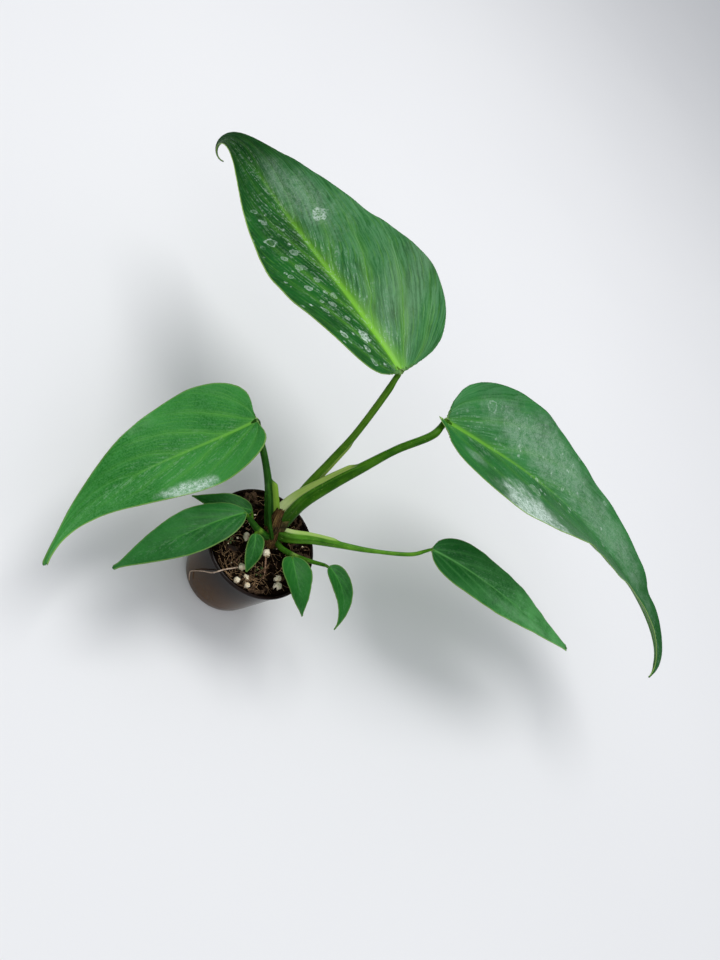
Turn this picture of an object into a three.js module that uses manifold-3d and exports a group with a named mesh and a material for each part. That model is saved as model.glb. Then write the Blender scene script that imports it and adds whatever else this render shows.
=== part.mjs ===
// A young flame monstera in a small nursery pot, in millimetres and degrees, with +Z up.
// The pot's underside is at z = 0 and its axis is the Z axis. Each leaf blade is one formula: a curved rib,
// an outline across it, a fold, a lengthwise wave and a drip tip.
import * as THREE from 'three';
import Module from 'manifold-3d';

const wasm = await Module();
wasm.setup();

// The pot: a thin tapered wall with a slightly rolled rim, and drain holes in its floor.
const POT = {
  height: 52, rimRadius: 32.5, baseRadius: 24.6, wall: 1.0, roll: 0.5, rollHeight: 2.4, sides: 40,
};
const DRAIN = { count: 5, radius: 2.6, ring: 15 };

// The soil fills the pot and rises a little to the stem. Its lumps are seeded, so every run is the same.
const SOIL = { edge: 50.6, mound: 2.6, moundWidth: 15, crumb: 0.55, rings: 8, sectors: 36, seed: 7 };
const PERLITE = [
  [8, -27], [10, -21.5], [13.5, -24], [4, -20], [6, -3.5], [21, -6], [24, -9], [-15, 17], [-21, -5],
];
const CHIPS = { count: 9, length: 7, width: 3, height: 1.8 };
const ROOTS = { count: 5, length: 19, radius: 0.6 };

// Touching pieces keep this gap, and a piece that passes another is cut back by it.
const GAP = 0.3;

// The short stem leans back as it rises, and the stalks grow out of its side. The old dry sheath is a
// bent tongue in front of it, with its half width at the foot and at the torn top.
const STEM = { route: [[2, 5, 40], [0.5, 6, 54], [-4, 10, 67]], radius: [4.9, 4.2] };
const DRY_SHEATH = {
  route: [[1.6, 0.4, 55.5], [-2.8, 2.4, 64], [-9, 6.6, 74]], half: [4.6, 2.2], bulge: 1.5, thickness: 0.8,
};

// The four long stalks. A route runs from inside the stem to a point short of its leaf's knee. The sheath
// is the pair of wings along the stalk's foot: its height in stalk radii, where it ends and how it is turned.
const STALKS = {
  petiole_right: {
    route: [
      [-3.5, 11, 63], [-5.3, 22, 71], [-3.6, 36.5, 83.5], [-0.6, 50.5, 97], [3, 68, 111.5], [8.6, 86, 124.5],
    ],
    radius: [5.2, 2.3], sheath: { height: 0.55, end: 0.5, turn: 55 }, leaf: 'leaf_right',
  },
  petiole_left: {
    route: [
      [-2.2, 5.5, 56.5], [-8, 4.5, 63.5], [-14.7, 4.2, 72.5], [-23, 4.6, 82], [-34.5, 6.8, 89.5],
      [-46.5, 12.5, 90.4],
    ],
    radius: [3.2, 1.9], sheath: { height: 1, end: 0.36, turn: 10 }, leaf: 'leaf_left',
  },
  petiole_top: {
    route: [
      [-2, 11, 58], [-6, 20.5, 63], [-10, 31, 71], [-13.8, 44.5, 88], [-17.3, 56, 103.5], [-25.6, 73, 127.5],
    ],
    radius: [3.0, 2.0], sheath: { height: 0.4, end: 0.62, turn: -60 }, leaf: 'leaf_top',
  },
  petiole_low_right: {
    route: [
      [0, 6.5, 57], [6, 9, 61], [14.5, 17.2, 65.5], [25.8, 25.8, 71.5], [39.8, 36.6, 78.5], [56, 53, 86.5],
    ],
    radius: [3.6, 1.2], sheath: { height: 0.5, end: 0.42, turn: 20 }, leaf: 'leaf_low_right',
  },
};

// The two side shoots, which carry the small leaves.
const SHOOTS = {
  shoot_left: {
    route: [[0.5, 4.5, 55.8], [-3.5, -2.2, 59.5], [-9.5, -6, 64], [-15.6, -9.6, 69.4]], radius: [3, 1.2],
  },
  shoot_right: {
    route: [[1, 5.5, 55.8], [7.6, 3, 58.2], [14.7, 4.1, 61.1], [21.7, 6.3, 65.6], [30.4, 10.6, 71.2]],
    radius: [1.9, 1.0],
  },
};

// The leaves. base is where the stalk joins the blade. heading (around from +X) and rise (above level) give
// the rib's direction at its base, middle and tip, lean is the blade's turn about its rib at both ends, and
// hook bends the last of the tip down. shoulder and taper shape the outline, lobe is how far the blade
// reaches back past its base on the left and the right, lobeLift how far it curls up there, skew makes one
// half wider, and fold, cup and wave shape the blade across.
const LEAVES = {
  leaf_top: {
    base: [-30, 81, 136], heading: [176, 154, 173], rise: [3, -33, 14], lean: [7, -55], hook: 168,
    length: 208, halfWidth: 51, shoulder: 0.35, taper: 1.43, lobe: [4.5, 1.5], lobeLift: [0, 0], skew: -0.1,
    fold: 14, cup: 0, wave: 2.9, wavePhase: -57, thickness: 0.9, rows: 24,
  },
  leaf_right: {
    base: [7, 98, 128], heading: [36, 54, -49], rise: [-3, -19, 8], lean: [3, -20], hook: 41,
    length: 247.5, halfWidth: 48, shoulder: 0.37, taper: 1.11, lobe: [1, 6], lobeLift: [0, 4],
    skew: -0.1, fold: 14, cup: 0.12, wave: -2, wavePhase: 9, thickness: 0.9, rows: 24,
  },
  leaf_left: {
    base: [-53, 14, 94], heading: [-102, -114, -54], rise: [-39, -17, -7], lean: [11, -30], hook: 0,
    length: 129.5, halfWidth: 26.8, shoulder: 0.55, taper: 1.72, lobe: [6.5, 8], lobeLift: [0, 0],
    skew: -0.07, fold: 17, cup: -0.04, wave: 3, wavePhase: 12, thickness: 0.9, rows: 20,
  },
  leaf_low_right: {
    base: [62, 67, 88], heading: [34, 15, 30], rise: [1, -3, -13], lean: [15, -10], hook: 0,
    length: 121.5, halfWidth: 15.7, shoulder: 0.45, taper: 0.97, lobe: [0, 0], lobeLift: [0, 0], skew: 0.04,
    fold: 13, cup: -0.18, wave: 0.8, wavePhase: -65, thickness: 0.8, rows: 18,
  },
  leaf_low_left: {
    base: [-17.5, -11.2, 72], heading: [-110, -97, -101], rise: [-9, -19, -23], lean: [17, 5], hook: 0,
    length: 71, halfWidth: 12.5, shoulder: 0.63, taper: 1.15, lobe: [0, 0], lobeLift: [0, 0], skew: 0,
    fold: 11, cup: -0.16, wave: 0.5, wavePhase: 160, thickness: 0.8, rows: 14,
  },
  leaf_behind: {
    base: [-17, -3.2, 66], heading: [-141, -137, -153], rise: [-5, -19, -27], lean: [3, -12], hook: 0,
    length: 32.3, halfWidth: 6.2, shoulder: 0.52, taper: 1.1, lobe: [0, 0], lobeLift: [0, 0], skew: 0,
    fold: 11, cup: 0, wave: 0.4, wavePhase: 160, thickness: 0.7, rows: 10,
  },
  leaf_middle: {
    base: [-5.8, -8.2, 63], heading: [-37, -58, -50], rise: [0, -19, -31], lean: [7, 20], hook: 0,
    length: 21, halfWidth: 4.7, shoulder: 0.48, taper: 0.88, lobe: [0, 0], lobeLift: [0, 0], skew: 0.05,
    fold: 14, cup: 0.1, wave: 0.6, wavePhase: -71, thickness: 0.7, rows: 10,
  },
  leaf_shoot_near: {
    base: [16.2, 0.6, 65], heading: [-41, -22, -14], rise: [15, -8, -38], lean: [8, -18], hook: 0,
    length: 33, halfWidth: 8.8, shoulder: 0.46, taper: 0.94, lobe: [0, 0], lobeLift: [0, 0], skew: -0.04,
    fold: 9, cup: 0.2, wave: 0.4, wavePhase: 130, thickness: 0.7, rows: 10,
  },
  leaf_shoot_far: {
    base: [32.4, 11.4, 72], heading: [1, -17, -64], rise: [7, -17, -49], lean: [-7, 2], hook: 0,
    length: 37, halfWidth: 7.3, shoulder: 0.51, taper: 1.47, lobe: [0, 0], lobeLift: [0, 0], skew: 0,
    fold: 12, cup: 0, wave: 0.2, wavePhase: 18, thickness: 0.7, rows: 10,
  },
};

// What every blade shares: where its lobes reach furthest, its waves along the margin, the sharpness of the
// hooked tip, and the half widths that the root and the tip keep.
const BLADE = { lobeAt: 0.07, waves: 2.2, waveShift: 0.9, hookPower: 14, rootHalf: 1.2, tipHalf: 0.5 };
const COLUMNS = [-1, -0.62, -0.3, -0.1, 0, 0.1, 0.3, 0.62, 1];
const FEW_COLUMNS = [-1, -0.55, -0.15, 0, 0.15, 0.55, 1];
const RIB_STEPS = 80;

const rad = THREE.MathUtils.degToRad;
const vec = (p) => new THREE.Vector3(p[0], p[1], p[2]);

// A small seeded generator, so that nothing here changes from run to run.
function seeded(seed) {
  let state = seed;
  return () => {
    state = (state * 1664525 + 1013904223) % 4294967296;
    return state / 4294967296;
  };
}

// A quadratic through three stated values: at the base, the pull in the middle, and the tip.
function blend(values, s) {
  const [a, b, c] = values;
  return (1 - s) ** 2 * a + 2 * s * (1 - s) * b + s * s * c;
}

// The rib's own directions at s: along it, across to its left and up out of its face.
function ribDirections(leaf, s) {
  const heading = rad(blend(leaf.heading, s));
  const rise = rad(blend(leaf.rise, s) - leaf.hook * s ** BLADE.hookPower);
  const lean = rad(leaf.lean[0] + (leaf.lean[1] - leaf.lean[0]) * s);
  const along = new THREE.Vector3(
    Math.cos(rise) * Math.cos(heading), Math.cos(rise) * Math.sin(heading), Math.sin(rise));
  const level = new THREE.Vector3(-Math.sin(heading), Math.cos(heading), 0);
  const across = level.clone().applyAxisAngle(along, lean);
  const up = new THREE.Vector3().crossVectors(along, across);
  return { along, across, up };
}

// The rib's place at s, added up in short steps from the base.
function ribPoint(leaf, s) {
  const point = vec(leaf.base);
  const step = s / RIB_STEPS;
  for (let i = 0; i < RIB_STEPS; i++) {
    point.addScaledVector(ribDirections(leaf, (i + 0.5) * step).along, leaf.length * step);
  }
  return point;
}

// Half the blade's width at s, which peaks where shoulder and taper balance.
function halfWidth(leaf, s) {
  const peak = leaf.shoulder / (leaf.shoulder + leaf.taper);
  const shape = (s / peak) ** leaf.shoulder * ((1 - s) / (1 - peak)) ** leaf.taper;
  const least = BLADE.rootHalf * (1 - s) + BLADE.tipHalf * s;
  return Math.hypot(leaf.halfWidth * shape, least * (leaf.thickness / 0.9));
}

// A point of the blade: s runs along the rib, u from -1 to 1 across it, and lift raises it off the middle.
function bladePoint(leaf, s, u, lift) {
  const { along, across, up } = ribDirections(leaf, s);
  const side = Math.sign(u);
  const out = halfWidth(leaf, s) * Math.abs(u) * (1 + side * leaf.skew);
  const share = Math.min(out / leaf.halfWidth, 1);
  const near = (s / BLADE.lobeAt) * Math.exp(1 - s / BLADE.lobeAt) * u * u;
  const half = side > 0 ? 0 : 1;
  const ripple = Math.sin(2 * Math.PI * BLADE.waves * s + rad(leaf.wavePhase) + side * BLADE.waveShift);
  const cupped = out * Math.sin(rad(leaf.fold)) + leaf.cup * out * share + leaf.lobeLift[half] * near;
  const height = cupped + leaf.wave * ripple * u * u * share;
  return ribPoint(leaf, s)
    .addScaledVector(along, -leaf.lobe[half] * near)
    .addScaledVector(across, side * out * Math.cos(rad(leaf.fold)))
    .addScaledVector(up, height + lift);
}

// A closed mesh from rows of points and the triangles that a callback adds.
function meshOf(points, triangles) {
  const merged = new wasm.Mesh({
    numProp: 3,
    vertProperties: new Float32Array(points.flatMap((p) => [p.x, p.y, p.z])),
    triVerts: new Uint32Array(triangles),
  });
  const solid = wasm.Manifold.ofMesh(merged);
  return solid.volume() < 0 ? meshOf(points, triangles.reverse()) : solid;
}

// A thin closed sheet: a grid of points for its face and the same grid for its back, split alike.
function sheet(rows, columns, pointAt) {
  const points = [];
  const triangles = [];
  const wide = columns.length;
  for (const face of [1, -1]) {
    rows.forEach((s) => columns.forEach((u) => points.push(pointAt(s, u, face))));
  }
  const back = rows.length * wide;
  const quad = (a, b, c, d) => triangles.push(a, b, c, a, c, d);
  for (let i = 0; i < rows.length - 1; i++) {
    for (let j = 0; j < wide - 1; j++) {
      const a = i * wide + j;
      quad(a, a + wide, a + wide + 1, a + 1);
      const b = back + a;
      triangles.push(b, b + wide + 1, b + wide, b, b + 1, b + wide + 1);
    }
    for (const a of [i * wide, i * wide + wide - 1]) {
      const ahead = a + wide;
      if (a % wide === 0) quad(a, back + a, back + ahead, ahead);
      else quad(a, ahead, back + ahead, back + a);
    }
  }
  for (let j = 0; j < wide - 1; j++) {
    const last = (rows.length - 1) * wide + j;
    quad(j, j + 1, back + j + 1, back + j);
    quad(last, back + last, back + last + 1, last + 1);
  }
  return meshOf(points, triangles);
}

// A stalk: rings of points along a smooth route, each ring square to it, with its top side kept upward.
// grow makes it fatter and longer all round, for cutting its neighbours.
function stalk(route, sides, steps, radiusAt, grow = 0) {
  const curve = new THREE.CatmullRomCurve3(route, false, 'centripetal');
  const points = [];
  const ends = [];
  const triangles = [];
  for (let i = 0; i <= steps; i++) {
    const t = i / steps;
    const along = curve.getTangentAt(t);
    const centre = curve.getPointAt(t).addScaledVector(along, i === 0 ? -grow : i === steps ? grow : 0);
    if (i === 0 || i === steps) ends.push(centre);
    const up = new THREE.Vector3(0, 0, 1).addScaledVector(along, -along.z).normalize();
    const left = new THREE.Vector3().crossVectors(up, along);
    for (let k = 0; k < sides; k++) {
      const angle = (2 * Math.PI * k) / sides;
      const r = radiusAt(t, angle) + grow;
      const ring = centre.clone().addScaledVector(up, r * Math.cos(angle));
      points.push(ring.addScaledVector(left, r * Math.sin(angle)));
    }
  }
  const first = points.length;
  points.push(...ends);
  for (let k = 0; k < sides; k++) {
    const next = (k + 1) % sides;
    for (let i = 0; i < steps; i++) {
      const a = i * sides;
      triangles.push(a + k, a + next, a + sides + next, a + k, a + sides + next, a + sides + k);
    }
    triangles.push(first, next, k);
    triangles.push(first + 1, steps * sides + k, steps * sides + next);
  }
  return meshOf(points, triangles);
}

// The largest piece that is left of a solid after cuts.
function largest(solid) {
  return solid.decompose().sort((a, b) => b.volume() - a.volume())[0];
}

// The stem, and the same made fatter by grow for cutting its neighbours.
function stem(grow = 0) {
  const [low, high] = STEM.radius;
  return stalk(STEM.route.map(vec), 14, 8, (t) => low + (high - low) * t, grow);
}

// The blade's upper point where its stalk meets it, and the stalk's direction there.
function joint(leaf, lastPoint) {
  const base = vec(leaf.base);
  return { base, toward: base.clone().sub(lastPoint).normalize() };
}

const KNEE = { long: 4, radius: 1.45 };

// A long stalk with its sheath wings, from inside the stem to the gap below the leaf's knee.
function petiole(spec, grow = 0) {
  const route = spec.route.map(vec);
  const { base, toward } = joint(LEAVES[spec.leaf], route.at(-1));
  route.push(base.clone().addScaledVector(toward, -KNEE.long - GAP));
  const [low, high] = spec.radius;
  const turn = rad(spec.sheath.turn);
  return stalk(route, 12, 15, (t, angle) => {
    const radius = low + (high - low) * Math.min(1, t * 1.5) ** 0.8;
    const end = THREE.MathUtils.smoothstep(t, spec.sheath.end - 0.12, spec.sheath.end);
    const off = Math.abs(Math.atan2(Math.sin(angle - turn), Math.cos(angle - turn)));
    const wing = Math.exp(-(((off - 0.75) / 0.42) ** 2)) * spec.sheath.height * (1 - end);
    const waist = THREE.MathUtils.smoothstep(t, 0.93, 1) * (radius - KNEE.radius);
    return radius * (1 + wing) - waist;
  }, grow);
}

// A side shoot, thick and bud-like at its foot.
function shoot(spec, grow = 0) {
  const [low, high] = spec.radius;
  return stalk(spec.route.map(vec), 10, 10, (t) => low + (high - low) * t, grow);
}

// A leaf: its blade with the rib raised below, joined to the knee that bends it onto its stalk.
function leafSolid(leaf, lastPoint, kneeLength, kneeRadius) {
  const steps = Array.from({ length: leaf.rows + 1 }, (_, i) => i / leaf.rows);
  const rows = steps.map((step) => 0.5 - 0.5 * Math.cos(Math.PI * step));
  const rib = Math.min(1.3, leaf.length * 0.012);
  const blade = sheet(rows, leaf.rows > 12 ? COLUMNS : FEW_COLUMNS, (s, u, face) => {
    const keel = u === 0 && face < 0 ? rib * (1 - s) : 0;
    return bladePoint(leaf, s, u, (face * leaf.thickness) / 2 - keel);
  });
  const { base, toward } = joint(leaf, lastPoint);
  const { along, up } = ribDirections(leaf, 0);
  const sunk = base.clone().addScaledVector(up, -leaf.thickness / 2);
  const route = [
    base.clone().addScaledVector(toward, -kneeLength),
    sunk,
    sunk.clone().addScaledVector(along, Math.max(2, kneeRadius * 2)),
  ];
  const knee = stalk(route, 8, 5, (t) => kneeRadius * (1 - 0.45 * t * t));
  return largest(wasm.Manifold.union(blade, knee));
}

// The old dry sheath: a thin bent tongue that stands against the front of the stem.
function drySheath() {
  const curve = new THREE.CatmullRomCurve3(DRY_SHEATH.route.map(vec), false, 'centripetal');
  const [foot, top] = DRY_SHEATH.half;
  return sheet([0, 0.2, 0.4, 0.6, 0.8, 1], [-1, -0.5, 0, 0.5, 1], (s, u, face) => {
    const along = curve.getTangentAt(s);
    const level = new THREE.Vector3(-1, -0.25, 0);
    const across = level.addScaledVector(along, -level.dot(along)).normalize();
    const out = new THREE.Vector3().crossVectors(along, across);
    const half = foot + (top - foot) * s;
    return curve.getPointAt(s)
      .addScaledVector(across, half * u)
      .addScaledVector(out, (face * DRY_SHEATH.thickness) / 2 - DRY_SHEATH.bulge * u * u * (1 - 0.5 * s));
  });
}

// The pot: one turned profile, closed on the axis, with the drain holes cut through its floor.
function pot() {
  const { height, rimRadius, baseRadius, wall, roll, rollHeight, sides } = POT;
  const slope = (rimRadius - roll - baseRadius) / height;
  const inner = (z) => baseRadius + slope * z - wall;
  const outline = [
    [0, 0], [baseRadius - 1, 0], [baseRadius, 0.8],
    [rimRadius - roll - slope * rollHeight, height - rollHeight], [rimRadius, height - rollHeight + 0.5],
    [rimRadius, height - 0.5], [rimRadius - 0.5, height],
    [inner(height) + 0.4, height], [inner(height), height - 0.5], [inner(wall), wall], [0, wall],
  ];
  const turned = new THREE.LatheGeometry(outline.map(([r, z]) => new THREE.Vector2(r, z)), sides);
  turned.rotateX(Math.PI / 2);
  let solid = fromGeometry(turned);
  for (let i = 0; i < DRAIN.count; i++) {
    const angle = (2 * Math.PI * i) / DRAIN.count;
    const hole = wasm.Manifold.cylinder(4 * wall, DRAIN.radius, DRAIN.radius, 14)
      .translate([DRAIN.ring * Math.cos(angle), DRAIN.ring * Math.sin(angle), -wall]);
    solid = solid.subtract(hole);
  }
  return solid;
}

// The soil's surface: a low mound with fine crumbs, which fade out at the wall.
function soilHeight(x, y) {
  const fromStem = Math.hypot(x - STEM.route[1][0], y - STEM.route[1][1]);
  const mound = SOIL.mound * Math.exp(-((fromStem / SOIL.moundWidth) ** 2));
  const coarse = Math.sin(0.9 * x + 1.3 * y) + Math.sin(1.7 * x - 0.6 * y + 2);
  const fine = Math.sin(0.5 * x - 1.9 * y + 4);
  return SOIL.edge + mound + SOIL.crumb * 0.6 * (coarse + fine);
}

// The soil: a body that follows the pot's inside, with perlite, bark and roots sunk into its top.
function soil() {
  const slope = (POT.rimRadius - POT.roll - POT.baseRadius) / POT.height;
  const wallRadius = (z) => POT.baseRadius + slope * z - POT.wall - GAP - 0.15;
  const floor = POT.wall + GAP;
  const points = [new THREE.Vector3(0, 0, soilHeight(0, 0))];
  const triangles = [];
  const { rings, sectors } = SOIL;
  for (let i = 1; i <= rings + 1; i++) {
    const bottom = i > rings;
    const radius = bottom ? wallRadius(floor) : (wallRadius(SOIL.edge) * i) / rings;
    for (let k = 0; k < sectors; k++) {
      const angle = (2 * Math.PI * k) / sectors;
      const x = radius * Math.cos(angle);
      const y = radius * Math.sin(angle);
      const top = i === rings ? SOIL.edge - 0.8 : soilHeight(x, y);
      points.push(new THREE.Vector3(x, y, bottom ? floor : top));
    }
  }
  points.push(new THREE.Vector3(0, 0, floor));
  for (let k = 0; k < sectors; k++) {
    const next = (k + 1) % sectors;
    triangles.push(0, 1 + k, 1 + next);
    for (let i = 0; i < rings; i++) {
      const a = 1 + i * sectors;
      triangles.push(a + k, a + sectors + k, a + sectors + next, a + k, a + sectors + next, a + next);
    }
    triangles.push(1 + rings * sectors + next, 1 + rings * sectors + k, points.length - 1);
  }
  const body = meshOf(points, triangles);
  const pieces = [body, ...perliteLumps(), ...barkChips(), ...looseRoots()];
  return largest(wasm.Manifold.union(pieces));
}

// Perlite lumps at the places where the pot shows them, each squashed and turned a little.
function perliteLumps() {
  const random = seeded(SOIL.seed);
  return PERLITE.map(([x, y]) => {
    const size = 1.7 + 0.9 * random();
    const lump = fromGeometry(new THREE.IcosahedronGeometry(size, 0));
    const turned = lump.rotate([90 * random(), 90 * random(), 90 * random()]).scale([1.15, 0.95, 0.9]);
    return turned.translate([x, y, soilHeight(x, y) + size * 0.25]);
  });
}

// Bark chips, half sunk at a slant, on the open ring between the stem and the wall.
function barkChips() {
  const random = seeded(SOIL.seed + 20);
  return Array.from({ length: CHIPS.count }, (_, i) => {
    const angle = (2 * Math.PI * (i + 0.3 * random())) / CHIPS.count;
    const radius = 16 + 9 * random();
    const x = radius * Math.cos(angle);
    const y = radius * Math.sin(angle);
    const length = CHIPS.length * (0.7 + 0.5 * random());
    const chip = wasm.Manifold.cube([length, CHIPS.width, CHIPS.height], true);
    const turned = chip.rotate([12 * random(), 14 * (random() - 0.5), 360 * random()]);
    return turned.translate([x, y, soilHeight(x, y)]);
  });
}

// Thin roots that lie half sunk in the surface and curve away from the stem.
function looseRoots() {
  const random = seeded(SOIL.seed + 40);
  return Array.from({ length: ROOTS.count }, (_, i) => {
    const start = (2 * Math.PI * (i + 0.4 * random())) / ROOTS.count + 0.5;
    const bend = 0.9 * (random() - 0.5);
    const route = [0, 0.33, 0.67, 1].map((t) => {
      const radius = 8 + ROOTS.length * t;
      const angle = start + bend * t;
      const x = radius * Math.cos(angle);
      const y = radius * Math.sin(angle);
      return new THREE.Vector3(x, y, soilHeight(x, y) + 0.1 - (t === 1 ? 1.4 : 0));
    });
    return stalk(route, 5, 7, () => ROOTS.radius);
  });
}

// A three.js geometry as a solid.
function fromGeometry(geometry) {
  const flat = geometry.index ? geometry.toNonIndexed() : geometry;
  const position = flat.getAttribute('position');
  const points = [];
  const seen = new Map();
  const triangles = [];
  for (let i = 0; i < position.count; i++) {
    const p = new THREE.Vector3().fromBufferAttribute(position, i);
    const key = p.toArray().map((v) => Math.round(v * 1e4)).join();
    if (!seen.has(key)) seen.set(key, points.push(p) - 1);
    triangles.push(seen.get(key));
  }
  const kept = [];
  for (let i = 0; i < triangles.length; i += 3) {
    const [a, b, c] = triangles.slice(i, i + 3);
    if (a !== b && b !== c && c !== a) kept.push(a, b, c);
  }
  return meshOf(points, kept);
}

// A solid as a three.js mesh with its own material.
function piece(name, solid, colour, roughness) {
  const mesh = solid.getMesh();
  const geometry = new THREE.BufferGeometry();
  geometry.setAttribute('position', new THREE.BufferAttribute(new Float32Array(mesh.vertProperties), 3));
  geometry.setIndex(new THREE.BufferAttribute(new Uint32Array(mesh.triVerts), 1));
  geometry.computeVertexNormals();
  const material = new THREE.MeshStandardMaterial({ color: colour, roughness, metalness: 0 });
  const made = new THREE.Mesh(geometry, material);
  made.name = name;
  return made;
}

const COLOURS = {
  pot: '#1d1410', soil: '#2a1d14', stem: '#6d5a2c', drySheath: '#7a4a26', stalk: '#4f7f2a',
  leaf: '#1f6b33', smallLeaf: '#256f38',
};

// Everything in its place. Each later stalk is cut back by the fatter ones it passes.
const plant = new THREE.Group();
const stemSolid = stem();
const fat = [stem(GAP)];
const cut = (solid) => largest(fat.reduce((left, other) => left.subtract(other), solid));

for (const [name, spec] of Object.entries(STALKS)) {
  plant.add(piece(name, cut(petiole(spec)), COLOURS.stalk, 0.5));
  fat.push(petiole(spec, GAP));
}
for (const [name, spec] of Object.entries(SHOOTS)) {
  plant.add(piece(name, cut(shoot(spec)), COLOURS.stalk, 0.5));
  fat.push(shoot(spec, GAP));
}
plant.add(piece('stem', stemSolid, COLOURS.stem, 0.8));
plant.add(piece('dry_sheath', cut(drySheath()), COLOURS.drySheath, 0.85));
plant.add(piece('soil', soil().subtract(stem(GAP + 0.1)), COLOURS.soil, 0.95));
plant.add(piece('pot', pot(), COLOURS.pot, 0.25));

for (const spec of Object.values(STALKS)) {
  const leaf = LEAVES[spec.leaf];
  const solid = leafSolid(leaf, vec(spec.route.at(-1)), KNEE.long, KNEE.radius);
  plant.add(piece(spec.leaf, largest(solid.subtract(petiole(spec, GAP))), COLOURS.leaf, 0.4));
}

// The small leaves, each with a short stalk of its own down to the shoot that carries it.
const SMALL = {
  leaf_low_left: ['shoot_left', 1], leaf_behind: ['shoot_left', 0.8], leaf_middle: ['shoot_left', 0.5],
  leaf_shoot_near: ['shoot_right', 0.5], leaf_shoot_far: ['shoot_right', 1],
};
for (const [name, [carrier, at]] of Object.entries(SMALL)) {
  const leaf = LEAVES[name];
  const line = new THREE.CatmullRomCurve3(SHOOTS[carrier].route.map(vec), false, 'centripetal');
  const foot = line.getPointAt(at);
  const reach = foot.distanceTo(vec(leaf.base));
  const solid = leafSolid(leaf, foot, reach, 0.85);
  plant.add(piece(name, largest(solid.subtract(shoot(SHOOTS[carrier], GAP))), COLOURS.smallLeaf, 0.4));
}

export default plant;
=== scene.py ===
# %% [markdown]
# # A potted flame monstera, dressed around its solids
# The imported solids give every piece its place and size. This lesson puts finer pieces over them: thin
# waved blades, stalks with sheath wings, a turned pot and a bed of real potting mix. All numbers below are
# millimetres and degrees, as in the solids, and are turned into metres where a mesh is placed.

# %% Load the solids
import math

import bpy
import numpy as np
from mathutils import Matrix, Vector, noise


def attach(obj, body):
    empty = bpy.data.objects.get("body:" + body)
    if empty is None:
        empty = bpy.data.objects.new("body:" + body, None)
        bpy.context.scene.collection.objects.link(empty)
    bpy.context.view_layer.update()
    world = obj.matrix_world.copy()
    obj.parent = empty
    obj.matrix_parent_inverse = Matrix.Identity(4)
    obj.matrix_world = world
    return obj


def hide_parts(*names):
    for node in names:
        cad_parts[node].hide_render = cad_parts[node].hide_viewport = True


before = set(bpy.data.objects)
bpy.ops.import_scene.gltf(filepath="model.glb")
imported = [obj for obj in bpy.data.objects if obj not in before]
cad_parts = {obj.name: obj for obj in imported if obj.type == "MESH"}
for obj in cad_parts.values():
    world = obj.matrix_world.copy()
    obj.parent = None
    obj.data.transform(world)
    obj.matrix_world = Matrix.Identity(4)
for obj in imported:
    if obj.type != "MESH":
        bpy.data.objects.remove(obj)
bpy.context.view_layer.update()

MM = 0.001
print("solids:", sorted(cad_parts))

# %% [markdown]
# ## Camera
# A phone looks down on the plant with its wide lens, rolled so that the pot leans to the left. The three
# directions below are the camera's right, up and back, so the plant can stand upright in its own frame.

# %% Camera
RIGHT, UP, BACK = (0.596, 0.584, 0.551), (-0.803, 0.434, 0.409), (0, -0.686, 0.728)
EYE = (4.3, -227.9, 386.9)
FOCAL_SHARE = 721 / 960
camera = bpy.data.objects.new("camera", bpy.data.cameras.new("camera"))
bpy.context.scene.collection.objects.link(camera)
turn = Matrix([RIGHT, UP, BACK]).transposed().to_4x4()
camera.matrix_world = Matrix.Translation(Vector(EYE) * MM) @ turn
camera.data.sensor_width = 36
camera.data.lens = 36 * FOCAL_SHARE
camera.data.clip_start = 0.01
bpy.context.scene.camera = camera
print("camera lens", round(camera.data.lens, 2), "mm")

# %% [markdown]
# ## Small helpers for materials
# A node tree is easier to read when each line adds one node and joins it at once.

# %% Node helpers


def new_tree(name):
    """A material's empty node tree with its shader, and the shader node."""
    material = bpy.data.materials.new(name)
    material.use_nodes = True
    tree = material.node_tree
    shader = tree.nodes["Principled BSDF"]
    return material, tree, shader


def join(tree, value, socket):
    """Join a node's output to a socket, or set the socket to a plain value."""
    if isinstance(value, bpy.types.NodeSocket):
        tree.links.new(value, socket)
    elif isinstance(value, tuple) and len(value) == 3 and socket.type == "RGBA":
        socket.default_value = (*value, 1)
    else:
        socket.default_value = value


def add(tree, kind, inputs=None, **settings):
    """Add a node, set what it is told and join its inputs."""
    made = tree.nodes.new(kind)
    for key, value in settings.items():
        setattr(made, key, value)
    for key, value in (inputs or {}).items():
        join(tree, value, made.inputs[key])
    return made


def maths(tree, operation, a, b=0.0, clamp=False):
    made = add(tree, "ShaderNodeMath", {0: a, 1: b}, operation=operation, use_clamp=clamp)
    return made.outputs[0]


def times(tree, a, b):
    return maths(tree, "MULTIPLY", a, b)


def plus(tree, a, b):
    return maths(tree, "ADD", a, b)


def minus(tree, a, b):
    return maths(tree, "SUBTRACT", a, b)


def steps(tree, value, low, high, to_low=0.0, to_high=1.0):
    """Turn a value's range from low to high into a smooth 0 to 1, or into another range."""
    made = add(tree, "ShaderNodeMapRange", {0: value, 1: low, 2: high, 3: to_low, 4: to_high},
               interpolation_type="SMOOTHSTEP")
    return made.outputs[0]


def mix(tree, share, a, b):
    """Mix two colours."""
    made = add(tree, "ShaderNodeMix", data_type="RGBA")
    join(tree, share, made.inputs[0])
    join(tree, a, made.inputs[6])
    join(tree, b, made.inputs[7])
    return made.outputs[2]


def cloud(tree, position, scale, detail=3.0, roughness=0.5, stretch=None):
    """Soft noise, 0 to 1, with an optional stretch along X, Y and Z."""
    if stretch:
        scaled = add(tree, "ShaderNodeVectorMath", {0: position, 1: stretch}, operation="MULTIPLY")
        position = scaled.outputs[0]
    made = add(tree, "ShaderNodeTexNoise", {"Vector": position, "Scale": scale, "Detail": detail,
                                            "Roughness": roughness})
    return made.outputs["Fac"]


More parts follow.
